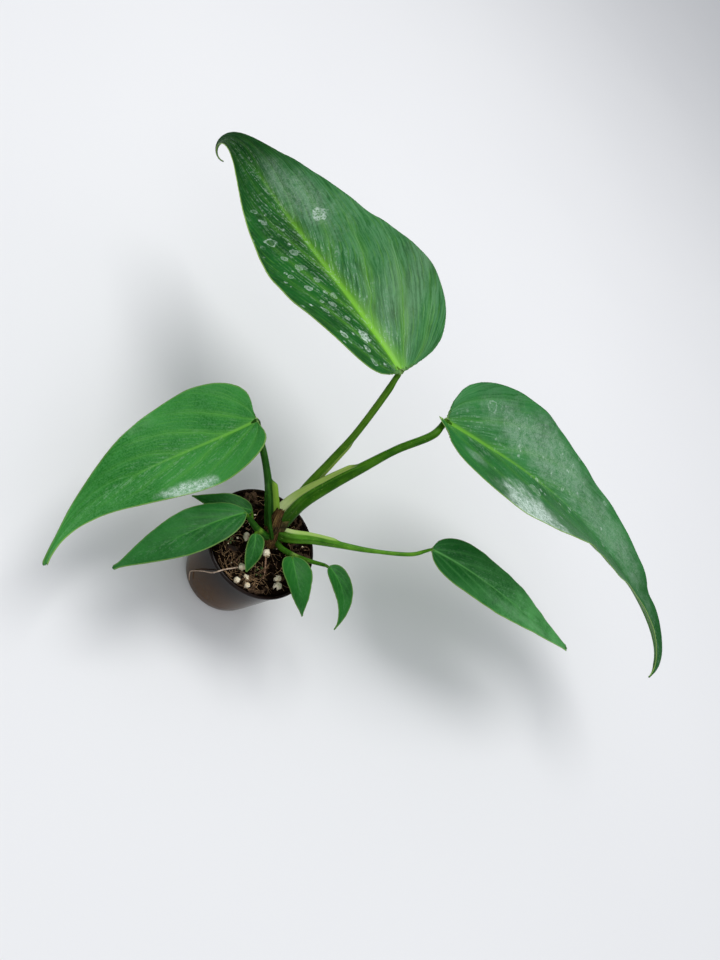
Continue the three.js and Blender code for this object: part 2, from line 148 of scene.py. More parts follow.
def surface(tree, shader, height, strength, distance):
    """Give the shader a bump from a height."""
    bump = add(tree, "ShaderNodeBump", {"Height": height, "Strength": strength, "Distance": distance})
    tree.links.new(bump.outputs[0], shader.inputs["Normal"])


def coat(tree, shader, colour, rough, specular):
    """Give the shader its colour, its roughness and the strength of its reflection."""
    join(tree, colour, shader.inputs["Base Color"])
    join(tree, rough, shader.inputs["Roughness"])
    join(tree, specular, shader.inputs["Specular IOR Level"])


def place(tree):
    return add(tree, "ShaderNodeTexCoord").outputs["Object"]


def attribute(tree, name):
    return add(tree, "ShaderNodeAttribute", attribute_name=name).outputs["Fac"]


def group(name, inputs, outputs):
    """An empty node group: its tree, the values that go in and the sockets that go out. An input with no
    value is a vector, and all others are plain numbers."""
    tree = bpy.data.node_groups.new(name, "ShaderNodeTree")
    for label, value in inputs.items():
        kind = "NodeSocketVector" if value is None else "NodeSocketFloat"
        socket = tree.interface.new_socket(label, in_out="INPUT", socket_type=kind)
        if value is not None:
            socket.default_value = value
    for label in outputs:
        tree.interface.new_socket(label, in_out="OUTPUT", socket_type="NodeSocketFloat")
    return tree, tree.nodes.new("NodeGroupInput").outputs, tree.nodes.new("NodeGroupOutput").inputs


def use(tree, made_group, inputs):
    """Place a group in a material, with its own values."""
    made = tree.nodes.new("ShaderNodeGroup")
    made.node_tree = made_group
    for key, value in inputs.items():
        join(tree, value, made.inputs[key])
    return made.outputs


# %% [markdown]
# ## Floor and light
# The plant is lit as on a bright day indoors: soft light from everywhere, a wide soft source above and
# behind that puts a satin sheen on the blades, and a weaker one in front. The sky brightens upwards where it
# lights the plant, and is one even grey where the camera sees it.

# %% Floor and lights
bpy.ops.mesh.primitive_circle_add(vertices=96, radius=9, fill_type="NGON", location=(0, 0, -0.0005))
floor = bpy.context.object
floor.name = "floor"
paint, tree, shader = new_tree("pale_floor")
grain = cloud(tree, place(tree), 3.0, 2.0)
coat(tree, shader, mix(tree, grain, (0.80, 0.805, 0.82), (0.84, 0.845, 0.855)), 0.9, 0.1)
floor.data.materials.append(paint)


def soft_light(name, where, towards, size, watts, colour=(1, 1, 1)):
    light = bpy.data.objects.new(name, bpy.data.lights.new(name, "AREA"))
    light.data.shape = "DISK"
    light.data.size = size
    light.data.energy = watts
    light.data.color = colour
    light.location = where
    light.rotation_mode = "QUATERNION"
    light.rotation_quaternion = (Vector(towards) - Vector(where)).to_track_quat("-Z", "Y")
    bpy.context.scene.collection.objects.link(light)


soft_light("overhead", (-0.30, 0.42, 1.45), (0, 0.05, 0.08), 0.8, 10.5, (1.0, 0.995, 0.985))
soft_light("front", (0.9, -1.1, 1.3), (0, 0.05, 0.08), 1.2, 5.5, (0.97, 0.98, 1.0))
BACKDROP = 0.80
world = bpy.data.worlds.new("studio")
bpy.context.scene.world = world
world.use_nodes = True
sky = world.node_tree
way_out = add(sky, "ShaderNodeTexCoord").outputs["Generated"]
height_in_sky = add(sky, "ShaderNodeSeparateXYZ", {0: way_out}).outputs[2]
join(sky, (0.94, 0.96, 1.0), sky.nodes["Background"].inputs["Color"])
seen = add(sky, "ShaderNodeLightPath").outputs["Is Camera Ray"]
glow_in_sky = steps(sky, height_in_sky, 0.2, 0.9, 0.2, 0.8)
backdrop = times(sky, seen, minus(sky, BACKDROP, glow_in_sky))
join(sky, plus(sky, glow_in_sky, backdrop), sky.nodes["Background"].inputs["Strength"])
bpy.context.scene.view_settings.view_transform = "Standard"
print("floor and two soft lights")

# %% [markdown]
# ## A grid that takes any shape
# Blades, stalks and the soil's top are all one sheet of small faces. The grid primitive gives the faces and
# the UV map, and a formula then moves each corner to its place. A formula is used and not the edit tools,
# because the blades must stay within a few millimetres of the solids they replace.

# %% Grid piece


def deselect():
    if bpy.context.object and bpy.context.object.mode != "OBJECT":
        bpy.ops.object.mode_set(mode="OBJECT")
    bpy.ops.object.select_all(action="DESELECT")


def pick(piece):
    deselect()
    piece.select_set(True)
    bpy.context.view_layer.objects.active = piece


def corners(piece):
    flat = np.empty(len(piece.data.vertices) * 3)
    piece.data.vertices.foreach_get("co", flat)
    return flat.reshape(-1, 3)


def set_corners(piece, points):
    piece.data.vertices.foreach_set("co", np.asarray(points, dtype=float).ravel())
    piece.data.update()


def mark(piece, name, values):
    """Keep one number for each corner, for the materials to read."""
    layer = piece.data.attributes.new(name, "FLOAT", "POINT")
    layer.data.foreach_set("value", np.asarray(values, dtype=float).ravel())


def grid_piece(name, columns, rows, formula, close_ends=False):
    """A grid whose corners go to formula(along, across): along is 0 to 1, across -1 to 1 (right is +1).
    The formula gives places in mm and a dictionary of marks."""
    deselect()
    bpy.ops.mesh.primitive_grid_add(x_subdivisions=columns, y_subdivisions=rows, size=2, location=(0, 0, 0))
    piece = bpy.context.object
    piece.name = piece.data.name = name
    start = corners(piece)
    across, along = start[:, 0], (start[:, 1] + 1) / 2
    if close_ends:
        along = 0.5 - 0.5 * np.cos(np.pi * along)
    places, marks = formula(along, across)
    set_corners(piece, places * MM)
    for label, values in marks.items():
        mark(piece, label, values)
    loops = np.empty(len(piece.data.loops), dtype=int)
    piece.data.loops.foreach_get("vertex_index", loops)
    chart = np.stack([(across[loops] + 1) / 2, along[loops]], axis=1)
    piece.data.uv_layers[0].data.foreach_set("uv", chart.ravel())
    return piece


def weld(piece, gap=1e-6):
    """Merge doubled corners and close the open ends."""
    pick(piece)
    bpy.ops.object.mode_set(mode="EDIT")
    bpy.ops.mesh.select_all(action="SELECT")
    bpy.ops.mesh.remove_doubles(threshold=gap)
    bpy.ops.mesh.fill_holes(sides=0)
    bpy.ops.object.mode_set(mode="OBJECT")


def thicken(piece, thickness, under_slot=0):
    """Give a sheet a thickness in mm. Its new side takes the material under_slot places further on."""
    pick(piece)
    wall = piece.modifiers.new("thickness", "SOLIDIFY")
    wall.thickness = thickness * MM
    wall.offset = -1
    wall.material_offset = under_slot
    bpy.ops.object.modifier_apply(modifier="thickness")


def one_piece(name, pieces):
    """Join several pieces into one."""
    deselect()
    for each in pieces:
        each.select_set(True)
    bpy.context.view_layer.objects.active = pieces[0]
    if len(pieces) > 1:
        bpy.ops.object.join()
    pieces[0].name = pieces[0].data.name = name
    return pieces[0]


def finish_piece(piece, nodes=(), angle=50):
    """Smooth the piece, tie it to the plant and hide the solids it stands for."""
    pick(piece)
    bpy.ops.object.shade_smooth_by_angle(angle=math.radians(angle))
    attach(piece, "root")
    if nodes:
        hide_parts(*nodes)
    faces = sum(len(p.vertices) - 2 for p in piece.data.polygons)
    print(piece.name, faces, "triangles")


# %% [markdown]
# ## Routes
# A stalk follows a smooth line through a few places. The line is of the same kind as in the solids: a spline
# whose steps depend on the root of the distance between its places, read at even lengths.

# %% Smooth route


def smooth_route(places, count):
    """Even places and directions along a centripetal spline."""
    p = [np.array(q, dtype=float) for q in places]
    p = [2 * p[0] - p[1], *p, 2 * p[-1] - p[-2]]
    dense = []
    for i in range(1, len(p) - 2):
        a, b, c, d = p[i - 1:i + 3]
        t0, t1, t2 = (max(np.linalg.norm(y - x) ** 0.5, 1e-4) for x, y in ((a, b), (b, c), (c, d)))
        m1 = ((b - a) / t0 - (c - a) / (t0 + t1) + (c - b) / t1) * t1
        m2 = ((c - b) / t1 - (d - b) / (t1 + t2) + (d - c) / t2) * t1
        for t in np.linspace(0, 1, 60, endpoint=(i == len(p) - 3)):
            dense.append(b + m1 * t + (3 * (c - b) - 2 * m1 - m2) * t**2 + (2 * (b - c) + m1 + m2) * t**3)
    dense = np.array(dense)
    walked = np.concatenate([[0], np.cumsum(np.linalg.norm(np.diff(dense, axis=0), axis=1))])
    even = np.linspace(0, walked[-1], count)
    line = np.stack([np.interp(even, walked, dense[:, k]) for k in range(3)], axis=1)
    ways = np.gradient(line, axis=0)
    return line, ways / np.linalg.norm(ways, axis=1, keepdims=True)


def tube(name, places, sides, rows, radius, marks=None):
    """A tube along a route, with radius(along, angle). The angle is 0 on the tube's upper side."""
    line, ways = smooth_route(places, rows + 1)
    upper = np.array([0, 0, 1]) - ways * ways[:, 2:3]
    upper /= np.linalg.norm(upper, axis=1, keepdims=True)
    left = np.cross(upper, ways)

    def formula(along, across):
        row = np.rint(along * rows).astype(int)
        angle = -across * np.pi
        r = radius(along, angle)[:, None]
        where = line[row] + upper[row] * r * np.cos(angle)[:, None] + left[row] * r * np.sin(angle)[:, None]
        return where, marks(along, angle) if marks else {}

    piece = grid_piece(name, sides, rows, formula)
    weld(piece)
    return piece


# %% [markdown]
# ## The blades' numbers
# Each blade follows the formula of its solid: where its stalk meets it, how its rib turns and drops, its
# outline, its fold, its wave and its tip. Numbers are repeated here because the looks must fit the solids.
# Some are finer here: swing turns the rib sideways near the tip, tip sets how blunt the blade ends, and the
# two largest blades are a little longer. The blades stay within 6 mm of their solids.

# %% Blade numbers
PLAIN = dict(lobe=(0, 0), lift=(0, 0), skew=0, cup=0, hook=0, swing=0)


def blade_numbers(**own):
    """What every blade has, with a plain value where the leaf has none of its own."""
    return {**PLAIN, **own}


LEAVES = {
    "leaf_top": blade_numbers(
        base=(-30, 81, 136), heading=(176, 154, 173), rise=(3, -33, 14), lean=(7, -55),
        length=213, half_width=51, shoulder=0.35, taper=1.43, lobe=(4.5, 1.5), skew=-0.1,
        fold=14, wave=2.9, phase=-57, thickness=0.9, hook=228, swing=23, tip=0.5,
        columns=84, rows=190),
    "leaf_right": blade_numbers(
        base=(7, 98, 128), heading=(36, 54, -49), rise=(-3, -19, 8), lean=(3, -20),
        length=254.7, half_width=48, shoulder=0.37, taper=1.11, lobe=(1, 6), lift=(0, 4), skew=-0.1,
        fold=14, cup=0.12, wave=-2, phase=9, flap=9, notch=0.765, thickness=0.9, hook=39, swing=-41, tip=0.6,
        columns=84, rows=210),
    "leaf_left": blade_numbers(
        base=(-53, 14, 94), heading=(-102, -114, -54), rise=(-39, -17, -7), lean=(11, -30),
        length=129.5, half_width=26.8, shoulder=0.55, taper=1.72, lobe=(6.5, 8), skew=-0.07,
        fold=17, cup=-0.04, wave=3, phase=12, thickness=0.9, tip=1.5,
        columns=64, rows=140),
    "leaf_low_right": blade_numbers(
        base=(62, 67, 88), heading=(34, 15, 30), rise=(1, -3, -13), lean=(15, -10),
        length=121.5, half_width=15.7, shoulder=0.45, taper=0.97, skew=0.04,
        fold=13, cup=-0.18, wave=0.8, phase=-65, thickness=0.8, tip=2.6,
        columns=48, rows=120),
    "leaf_low_left": blade_numbers(
        base=(-17.5, -11.2, 72), heading=(-110, -97, -101), rise=(-9, -19, -23), lean=(17, 5),
        length=71, half_width=12.5, shoulder=0.63, taper=1.15,
        fold=11, cup=-0.16, wave=0.5, phase=160, thickness=0.8, tip=1.3,
        columns=44, rows=90),
    "leaf_behind": blade_numbers(
        base=(-17, -3.2, 66), heading=(-141, -137, -153), rise=(-5, -19, -27), lean=(3, -12),
        length=32.3, half_width=6.2, shoulder=0.52, taper=1.1,
        fold=11, wave=0.4, phase=160, thickness=0.7, tip=0.6,
        columns=32, rows=56),
    "leaf_middle": blade_numbers(
        base=(-5.8, -8.2, 63), heading=(-37, -58, -50), rise=(0, -19, -31), lean=(7, 20),
        length=21, half_width=4.7, shoulder=0.48, taper=0.88, skew=0.05,
        fold=14, cup=0.1, wave=0.6, phase=-71, thickness=0.7, tip=0.5,
        columns=32, rows=48),
    "leaf_shoot_near": blade_numbers(
        base=(16.2, 0.6, 65), heading=(-41, -22, -14), rise=(15, -8, -38), lean=(8, -18),
        length=33, half_width=8.8, shoulder=0.46, taper=0.94, skew=-0.04,
        fold=9, cup=0.2, wave=0.4, phase=130, thickness=0.7, tip=1.0,
        columns=32, rows=56),
    "leaf_shoot_far": blade_numbers(
        base=(32.4, 11.4, 72), heading=(1, -17, -64), rise=(7, -17, -49), lean=(-7, 2),
        length=37, half_width=7.3, shoulder=0.51, taper=1.47,
        fold=12, wave=0.2, phase=18, thickness=0.7, tip=0.5,
        columns=32, rows=56),
}
LOBE_AT, WAVES, WAVE_SHIFT, HOOK_POWER, ROOT_HALF = 0.07, 2.2, 0.9, 15, 1.2

# %% [markdown]
# ## A blade
# A leaf blade is a thin skin on a midrib. Its side veins leave the base and the midrib, run forward and
# bend towards the tip. Between them the skin stands a little proud, so light breaks along the veins. The
# grid gets that relief in its corners, a Solidify gives it thickness, and the edge is then thinned.

# %% Blade formula


def blend(values, s):
    a, b, c = values
    return (1 - s) ** 2 * a + 2 * s * (1 - s) * b + s * s * c


def rib_table(leaf, count=600):
    """The midrib's places and its three directions at even steps."""
    s = np.linspace(0, 1, count + 1)
    last = s**HOOK_POWER
    heading = np.radians(blend(leaf["heading"], s) + leaf["swing"] * last)
    rise = np.radians(blend(leaf["rise"], s) - leaf["hook"] * last)
    lean = np.radians(leaf["lean"][0] + (leaf["lean"][1] - leaf["lean"][0]) * s)[:, None]
    flat = np.cos(rise)
    ahead = np.stack([flat * np.cos(heading), flat * np.sin(heading), np.sin(rise)], axis=1)
    level = np.stack([-np.sin(heading), np.cos(heading), 0 * heading], axis=1)
    left = level * np.cos(lean) + np.cross(ahead, level) * np.sin(lean)
    up = np.cross(ahead, left)
    walk = np.cumsum((ahead[1:] + ahead[:-1]) / 2 * leaf["length"] / count, axis=0)
    rib = np.array(leaf["base"], dtype=float) + np.concatenate([[[0, 0, 0]], walk])
    return rib, ahead, left, up


def half_width(leaf, s):
    peak = leaf["shoulder"] / (leaf["shoulder"] + leaf["taper"])
    shape = (s / peak) ** leaf["shoulder"] * ((1 - s) / (1 - peak)) ** leaf["taper"]
    least = (ROOT_HALF * (1 - s) + leaf["tip"] * s) * leaf["thickness"] / 0.9
    return np.hypot(leaf["half_width"] * shape, least)


VEIN_POWER, VEIN_COUNT, VEIN_SHIFT = 1.05, 5.2, 0.35


def between_veins(s, v):
    """0 on a side vein and 1 half way between two. A vein is a line of equal s - 0.5 v ** VEIN_POWER."""
    cycle = np.mod((s - 0.5 * v**VEIN_POWER) * VEIN_COUNT + VEIN_SHIFT + 0.5, 1)
    return np.abs(2 * cycle - 1)


def blade_formula(leaf):
    rib, ahead, left, up = rib_table(leaf)

    def formula(s, across):
        row = np.rint(s * (len(rib) - 1)).astype(int)
        side = -np.sign(across)
        u = np.abs(across)
        out = half_width(leaf, s) * u * (1 + side * leaf["skew"])
        if "notch" in leaf:
            dip = np.exp(-(((s - leaf["notch"] - 0.022) / 0.028) ** 2)) * (s > leaf["notch"] - 0.03)
            out = out * (1 - 0.24 * dip * (side > 0))
        share = np.minimum(out / leaf["half_width"], 1)
        near = (s / LOBE_AT) * np.exp(1 - s / LOBE_AT) * u**2
        lobe = np.where(side > 0, leaf["lobe"][0], leaf["lobe"][1])
        lift = np.where(side > 0, leaf["lift"][0], leaf["lift"][1])
        ripple = np.sin(2 * np.pi * WAVES * s + math.radians(leaf["phase"]) + side * WAVE_SHIFT)
        height = out * math.sin(math.radians(leaf["fold"])) + leaf["cup"] * out * share + lift * near
        height += leaf["wave"] * ripple * u**2 * share
        quilt = between_veins(s, u)
        fade = np.clip(out / 3, 0, 1) * np.clip((1 - u) / 0.15, 0, 1) * min(leaf["half_width"] / 40, 1)
        height -= 0.45 * ((1 - quilt) ** 2 - 0.33) * fade
        height -= 0.5 * np.exp(-((out / 1.1) ** 2)) * (1 - s) * min(leaf["half_width"] / 30, 1)
        flutter = 0.35 * np.sin(s * 41 + side * 2) + 0.25 * np.sin(s * 67 + side)
        height += flutter * u**6 * min(leaf["half_width"] / 30, 1) * np.sin(np.pi * s)
        back = lobe * near
        if "flap" in leaf:
            flap = np.exp(-(((out - 4) / 3.2) ** 2)) * np.exp(-s / 0.005) * u**2 * (side < 0)
            back += leaf["flap"] * flap
            height += 0.35 * leaf["flap"] * flap
        place_at = rib[row] - ahead[row] * back[:, None]
        place_at = place_at + left[row] * (side * out * math.cos(math.radians(leaf["fold"])))[:, None]
        place_at = place_at + up[row] * (height + leaf["thickness"] / 2)[:, None]
        from_edge = half_width(leaf, s) * (1 - u) * (1 + side * leaf["skew"])
        return place_at, {"from_rib": out, "from_edge": from_edge}

    return formula


def blade(name, leaf, upper_side, lower_side):
    """The blade's skin, thickened downwards, thinned at its edge and ribbed below."""
    piece = grid_piece(name, leaf["columns"], leaf["rows"], blade_formula(leaf), close_ends=True)
    piece.data.materials.append(upper_side)
    piece.data.materials.append(lower_side)
    count = len(piece.data.vertices)
    out = np.empty(count)
    edge = np.empty(count)
    piece.data.attributes["from_rib"].data.foreach_get("value", out)
    piece.data.attributes["from_edge"].data.foreach_get("value", edge)
    thicken(piece, leaf["thickness"], 1)
    places = corners(piece)
    top, under = places[:count], places[count:2 * count]
    down = (under - top) / np.maximum(np.linalg.norm(under - top, axis=1, keepdims=True), 1e-9)
    thin = 0.4 + 0.6 * np.clip(edge / 4, 0, 1)
    keel = min(1.3, leaf["length"] * 0.012) * np.exp(-((out / 1.5) ** 2)) * np.clip(edge / 3, 0, 1)
    places[count:2 * count] = top + down * (leaf["thickness"] * thin + keel)[:, None] * MM
    set_corners(piece, places)
    return piece


# %% [markdown]
# ## Leaf green
# The upper side is a deep satin green. The midrib is yellow-green and widest at the base, and paler side
# veins fan out from it. Hard water has left white flecks, rings and a haze on the large blades. The
# marks are a shared group, and each blade gives it its own region, so that they lie where the real ones do.
# Some haze patches are a painted sheen and gloss as well. One half of some blades is a painted sheen, the
# margins get a painted highlight on one side and painted shade on the other, and some blades are painted
# in shade towards the tip and the base.

# %% Vein group
veins, inside, outside = group(
    "leaf_veins", {"UV": None, "From Rib": 1.0, "Rib Width": 1.6, "Rib End": 0.8},
    ("Rib", "Glow", "Side Veins", "Fine Veins", "Streaks", "Height"))
tree, chart = veins, inside["UV"]
across, length = add(tree, "ShaderNodeSeparateXYZ", {0: chart}).outputs[:2]
share = maths(tree, "ABSOLUTE", minus(tree, times(tree, across, 2.0), 1.0))
wobble = minus(tree, cloud(tree, chart, 7.0, 3.0, 0.6), 0.5)
launch = minus(tree, length, times(tree, maths(tree, "POWER", share, VEIN_POWER), 0.5))
launch = plus(tree, launch, times(tree, wobble, 0.05))


def vein_mask(tree, position, count, width):
    """1 on a vein and 0 away from it, where width is the share of the way to the next vein."""
    cycle = maths(tree, "FRACT", plus(tree, times(tree, position, count), VEIN_SHIFT + 0.5))
    off = maths(tree, "ABSOLUTE", minus(tree, cycle, 0.5))
    return steps(tree, off, 0.0, width, 1.0, 0.0)


thin = vein_mask(tree, launch, VEIN_COUNT, 0.035)
broad = vein_mask(tree, launch, VEIN_COUNT, 0.30)
side_veins = plus(tree, times(tree, thin, 0.55), times(tree, broad, 0.45))
near_base = times(tree, steps(tree, share, 0.35, 0.95, 1.0, 0.12),
                  steps(tree, length, 0.15, 0.75, 1.0, 0.25))
side_veins = times(tree, side_veins, near_base)
fine = times(tree, vein_mask(tree, launch, VEIN_COUNT * 5.0, 0.22),
             steps(tree, cloud(tree, chart, 14.0, 3.0), 0.35, 0.65))
taper = times(tree, inside["Rib Width"], minus(tree, 1.06, length))
fade = maths(tree, "SUBTRACT", 1.0, maths(tree, "DIVIDE", length, inside["Rib End"]), clamp=True)
along_veins = {0: times(tree, launch, 60.0), 1: times(tree, share, 5.0), 2: times(tree, across, 9.0)}
streak = cloud(tree, add(tree, "ShaderNodeCombineXYZ", along_veins).outputs[0], 1.0, 4.0, 0.65)
off_rib = maths(tree, "DIVIDE", inside["From Rib"], taper)
glow = times(tree, steps(tree, off_rib, 0.3, 3.6, 1.0, 0.0), fade)
rib_mask = times(tree, steps(tree, off_rib, 0.35, 1.15, 1.0, 0.0), fade)
relief = plus(tree, times(tree, thin, -0.7), times(tree, fine, -0.3))
for label, value in (("Rib", rib_mask), ("Glow", glow), ("Side Veins", side_veins), ("Fine Veins", fine),
                     ("Streaks", streak), ("Height", relief)):
    tree.links.new(value, outside[label])

# %% Water mark and painted sheen groups
water_and_sheen, inside, outside = group(
    "water_marks_and_sheen", {"Position": None, "UV": None, "Centre Along": 0.3, "Centre Across": 0.5,
                    "Reach Along": 0.3, "Reach Across": 0.3}, ("Spots", "Haze And Sheen"))
tree, where = water_and_sheen, inside["Position"]
across, along = add(tree, "ShaderNodeSeparateXYZ", {0: inside["UV"]}).outputs[:2]
off_along = maths(tree, "DIVIDE", minus(tree, along, inside["Centre Along"]), inside["Reach Along"])
off_across = maths(tree, "DIVIDE", minus(tree, across, inside["Centre Across"]), inside["Reach Across"])
off = plus(tree, times(tree, off_along, off_along), times(tree, off_across, off_across))
off = maths(tree, "SQRT", off)
ragged = minus(tree, cloud(tree, where, 80.0, 5.0, 0.65), 0.5)
region = steps(tree, plus(tree, off, times(tree, ragged, 1.6)), 0.3, 1.1, 1.0, 0.0)
cells = add(tree, "ShaderNodeTexVoronoi", {"Vector": where, "Scale": 170.0})
chance = add(tree, "ShaderNodeSeparateColor", {0: cells.outputs["Color"]}).outputs
drop = plus(tree, times(tree, chance[0], 0.25), 0.08)
inside_drop = steps(tree, minus(tree, cells.outputs["Distance"], drop), -0.06, 0.05, 1.0, 0.0)
broken = steps(tree, cloud(tree, where, 600.0, 4.0, 0.7), 0.38, 0.66)
present = steps(tree, chance[1], 0.35, 0.45)
spots = times(tree, times(tree, inside_drop, broken), times(tree, present, region))
# The haze is a pale veil over a region, standing for mineral haze and for painted sheen and gloss.
veil = steps(tree, cloud(tree, where, 300.0, 6.0, 0.8), 0.32, 0.60, 0.2, 1.0)
powder = steps(tree, cloud(tree, where, 1300.0, 3.0, 0.8), 0.40, 0.58, 0.45, 1.0)
haze_and_sheen = times(tree, times(tree, veil, powder), region)
tree.links.new(spots, outside["Spots"])
tree.links.new(haze_and_sheen, outside["Haze And Sheen"])

ring_group, inside, outside = group(
    "water_ring", {"Position": None, "Centre": None, "Radius": 0.003, "Net": 0.5}, ("Ring",))
tree, where = ring_group, inside["Position"]
apart = add(tree, "ShaderNodeVectorMath", {0: where, 1: inside["Centre"]}, operation="DISTANCE")
shape = minus(tree, cloud(tree, where, 330.0, 3.0), 0.5)
apart = maths(tree, "DIVIDE", apart.outputs["Value"], inside["Radius"])
apart = plus(tree, apart, times(tree, shape, 1.5))
rim = steps(tree, maths(tree, "ABSOLUTE", minus(tree, apart, 0.85)), 0.04, 0.20, 1.0, 0.0)
net = add(tree, "ShaderNodeTexVoronoi", {"Vector": where, "Scale": 720.0}, feature="DISTANCE_TO_EDGE")
net = times(tree, steps(tree, net.outputs["Distance"], 0.05, 0.30, 1.0, 0.15), inside["Net"])
filled = times(tree, steps(tree, apart, 0.75, 0.95, 1.0, 0.0), net)
patchy = steps(tree, cloud(tree, where, 500.0, 3.0, 0.7), 0.25, 0.6)
ring = times(tree, maths(tree, "MAXIMUM", times(tree, rim, 0.8), filled), patchy)
tree.links.new(ring, outside["Ring"])
print("groups:", veins.name, water_and_sheen.name, ring_group.name)

# %% Leaf materials


# The pale green is painted sheen, also in the grain; the whitish green is water marks and painted gloss.
PALE_GREEN, CHALK_AND_SHEEN = (0.085, 0.27, 0.105), (0.62, 0.76, 0.68)
# A painted highlight and painted shade for the margins.
LIT_EDGE, SHADED_EDGE = (0.32, 0.50, 0.12), (0.050, 0.090, 0.020)


def leaf_upper(name, dark, light, rib_colour, patches=(), rings=(), rib_width=1.6, rib_end=0.6, glow=0.4,
               vein=0.3, fleck=0.3, edge=(0.0, 0.0), pale=(0.0, 0.0), rough=0.36, shaded_tip=0.0,
               shaded_base=0.0, grain=0.3):
    """patches: kind, centre along and across, reaches, strength. rings: centre in mm, radius, net, strength.
    edge: the strength of a painted highlight along the margin, on the left and on the right, with painted
    shade along the margin where it is weaker. pale: the strength of a painted sheen on the left and the right
    half. The tip and base settings paint shade towards the tip and towards the base."""
    material, tree, shader = new_tree(name)
    chart = add(tree, "ShaderNodeTexCoord").outputs["UV"]
    where = place(tree)
    vein_outputs = use(tree, veins, {"UV": chart, "From Rib": attribute(tree, "from_rib"),
                                     "Rib Width": rib_width, "Rib End": rib_end})
    across, along = add(tree, "ShaderNodeSeparateXYZ", {0: chart}).outputs[:2]
    # Painted shade: the blade darkens towards its tip.
    tip = times(tree, steps(tree, along, 0.62, 0.88), shaded_tip)
    broad = steps(tree, cloud(tree, where, 38.0, 4.0, 0.6), 0.3, 0.7)
    mottle = cloud(tree, where, 520.0, 4.0, 0.75)
    lines = vein_outputs["Streaks"]
    colour = mix(tree, broad, dark, light)
    # Painted sheen: one half of the blade, as set by pale, goes towards a pale green, less near the tip.
    half = steps(tree, across, 0.5, 0.56, pale[0], pale[1])
    half = times(tree, half, minus(tree, 1.0, tip))
    colour = mix(tree, times(tree, half, steps(tree, lines, 0.25, 0.65)), colour, PALE_GREEN)
    leathery = steps(tree, cloud(tree, where, 1100.0, 2.0, 0.7), 0.35, 0.65)
    colour = mix(tree, times(tree, leathery, grain), colour, mix(tree, 0.5, light, PALE_GREEN))
    colour = mix(tree, times(tree, steps(tree, mottle, 0.35, 0.75), 0.45), colour, light)
    # Painted shade: the blade darkens towards its base as well as towards its tip.
    near_base = times(tree, steps(tree, along, 0.12, 0.5, 1.0, 0.0), shaded_base)
    colour = mix(tree, maths(tree, "MAXIMUM", tip, near_base), colour, dark)
    pale_vein = mix(tree, 0.45, light, rib_colour)
    colour = mix(tree, times(tree, vein_outputs["Fine Veins"], vein * 0.4), colour, pale_vein)
    colour = mix(tree, times(tree, vein_outputs["Side Veins"], vein), colour, pale_vein)
    glow_side = times(tree, steps(tree, across, 0.40, 0.52, 0.3, 1.0), glow)
    colour = mix(tree, times(tree, vein_outputs["Glow"], glow_side), colour, rib_colour)
    colour = mix(tree, vein_outputs["Rib"], colour, rib_colour)
    streaks = times(tree, steps(tree, lines, 0.50, 0.60), steps(tree, mottle, 0.46, 0.58))
    off_middle = maths(tree, "ABSOLUTE", minus(tree, across, 0.42))
    near_rib = steps(tree, off_middle, 0.08, 0.34, 1.0, 0.15)
    chalk_and_sheen = times(tree, times(tree, streaks, near_rib), fleck)
    # The haze patches lay mineral haze and, on some blades, painted sheen and gloss in the same whitish
    # green.
    for kind, along_at, across_at, reach_along, reach_across, strength in patches:
        made = use(tree, water_and_sheen, {"Position": where, "UV": chart, "Centre Along": along_at,
                                 "Centre Across": across_at, "Reach Along": reach_along,
                                 "Reach Across": reach_across})
        chalk_and_sheen = maths(tree, "MAXIMUM", chalk_and_sheen, times(tree, made[kind], strength))
    for centre, radius, net, strength in rings:
        made = use(tree, ring_group, {"Position": where, "Centre": tuple(v * MM for v in centre),
                                      "Radius": radius * MM, "Net": net})
        chalk_and_sheen = maths(tree, "MAXIMUM", chalk_and_sheen, times(tree, made["Ring"], strength))
    colour = mix(tree, chalk_and_sheen, colour, CHALK_AND_SHEEN)
    from_edge = attribute(tree, "from_edge")
    # Painted highlight along the margin on the side that edge favours, painted shade along the other.
    lit_edge = times(tree, steps(tree, from_edge, 0.25, 0.75, 1.0, 0.0),
                     steps(tree, across, 0.45, 0.55, edge[0], edge[1]))
    colour = mix(tree, lit_edge, colour, LIT_EDGE)
    shaded_edge = times(tree, steps(tree, from_edge, 0.1, 0.45, 0.35, 0.0),
                      steps(tree, across, 0.45, 0.55, 1.0 - edge[0], 1.0 - edge[1]))
    colour = mix(tree, shaded_edge, colour, SHADED_EDGE)
    dull = plus(tree, times(tree, chalk_and_sheen, 0.3), rough)
    dull = plus(tree, dull, times(tree, minus(tree, mottle, 0.5), 0.16))
    coat(tree, shader, colour, dull, 0.13)
    skin = plus(tree, times(tree, mottle, 0.35), vein_outputs["Height"])
    skin = plus(tree, skin, times(tree, lines, 0.5))
    surface(tree, shader, skin, 0.30, 0.0004)
    return material


def leaf_lower(name, colour_a, colour_b, rib_colour):
    """The underside is paler and duller, and its ribs stand out."""
    material, tree, shader = new_tree(name)
    chart = add(tree, "ShaderNodeTexCoord").outputs["UV"]
    where = place(tree)
    vein_outputs = use(tree, veins, {"UV": chart, "From Rib": attribute(tree, "from_rib"), "Rib Width": 2.6,
                                     "Rib End": 1.3})
    colour = mix(tree, cloud(tree, where, 60.0, 4.0), colour_a, colour_b)
    colour = mix(tree, times(tree, vein_outputs["Side Veins"], 0.7), colour, rib_colour)
    colour = mix(tree, vein_outputs["Rib"], colour, rib_colour)
    coat(tree, shader, colour, 0.55, 0.15)
    surface(tree, shader, times(tree, vein_outputs["Height"], -1.0), 0.5, 0.0005)
    return material


def spots_on(name, rows):
    """Turn rows of along, across (left is +), radius, net and strength into places on the blade."""
    spot = blade_formula(LEAVES[name])
    made = []
    for along, across, radius, net, strength in rows:
        centre = spot(np.array([along]), np.array([-across]))[0][0]
        made.append((tuple(float(v) for v in centre), radius, net, strength))
    return made


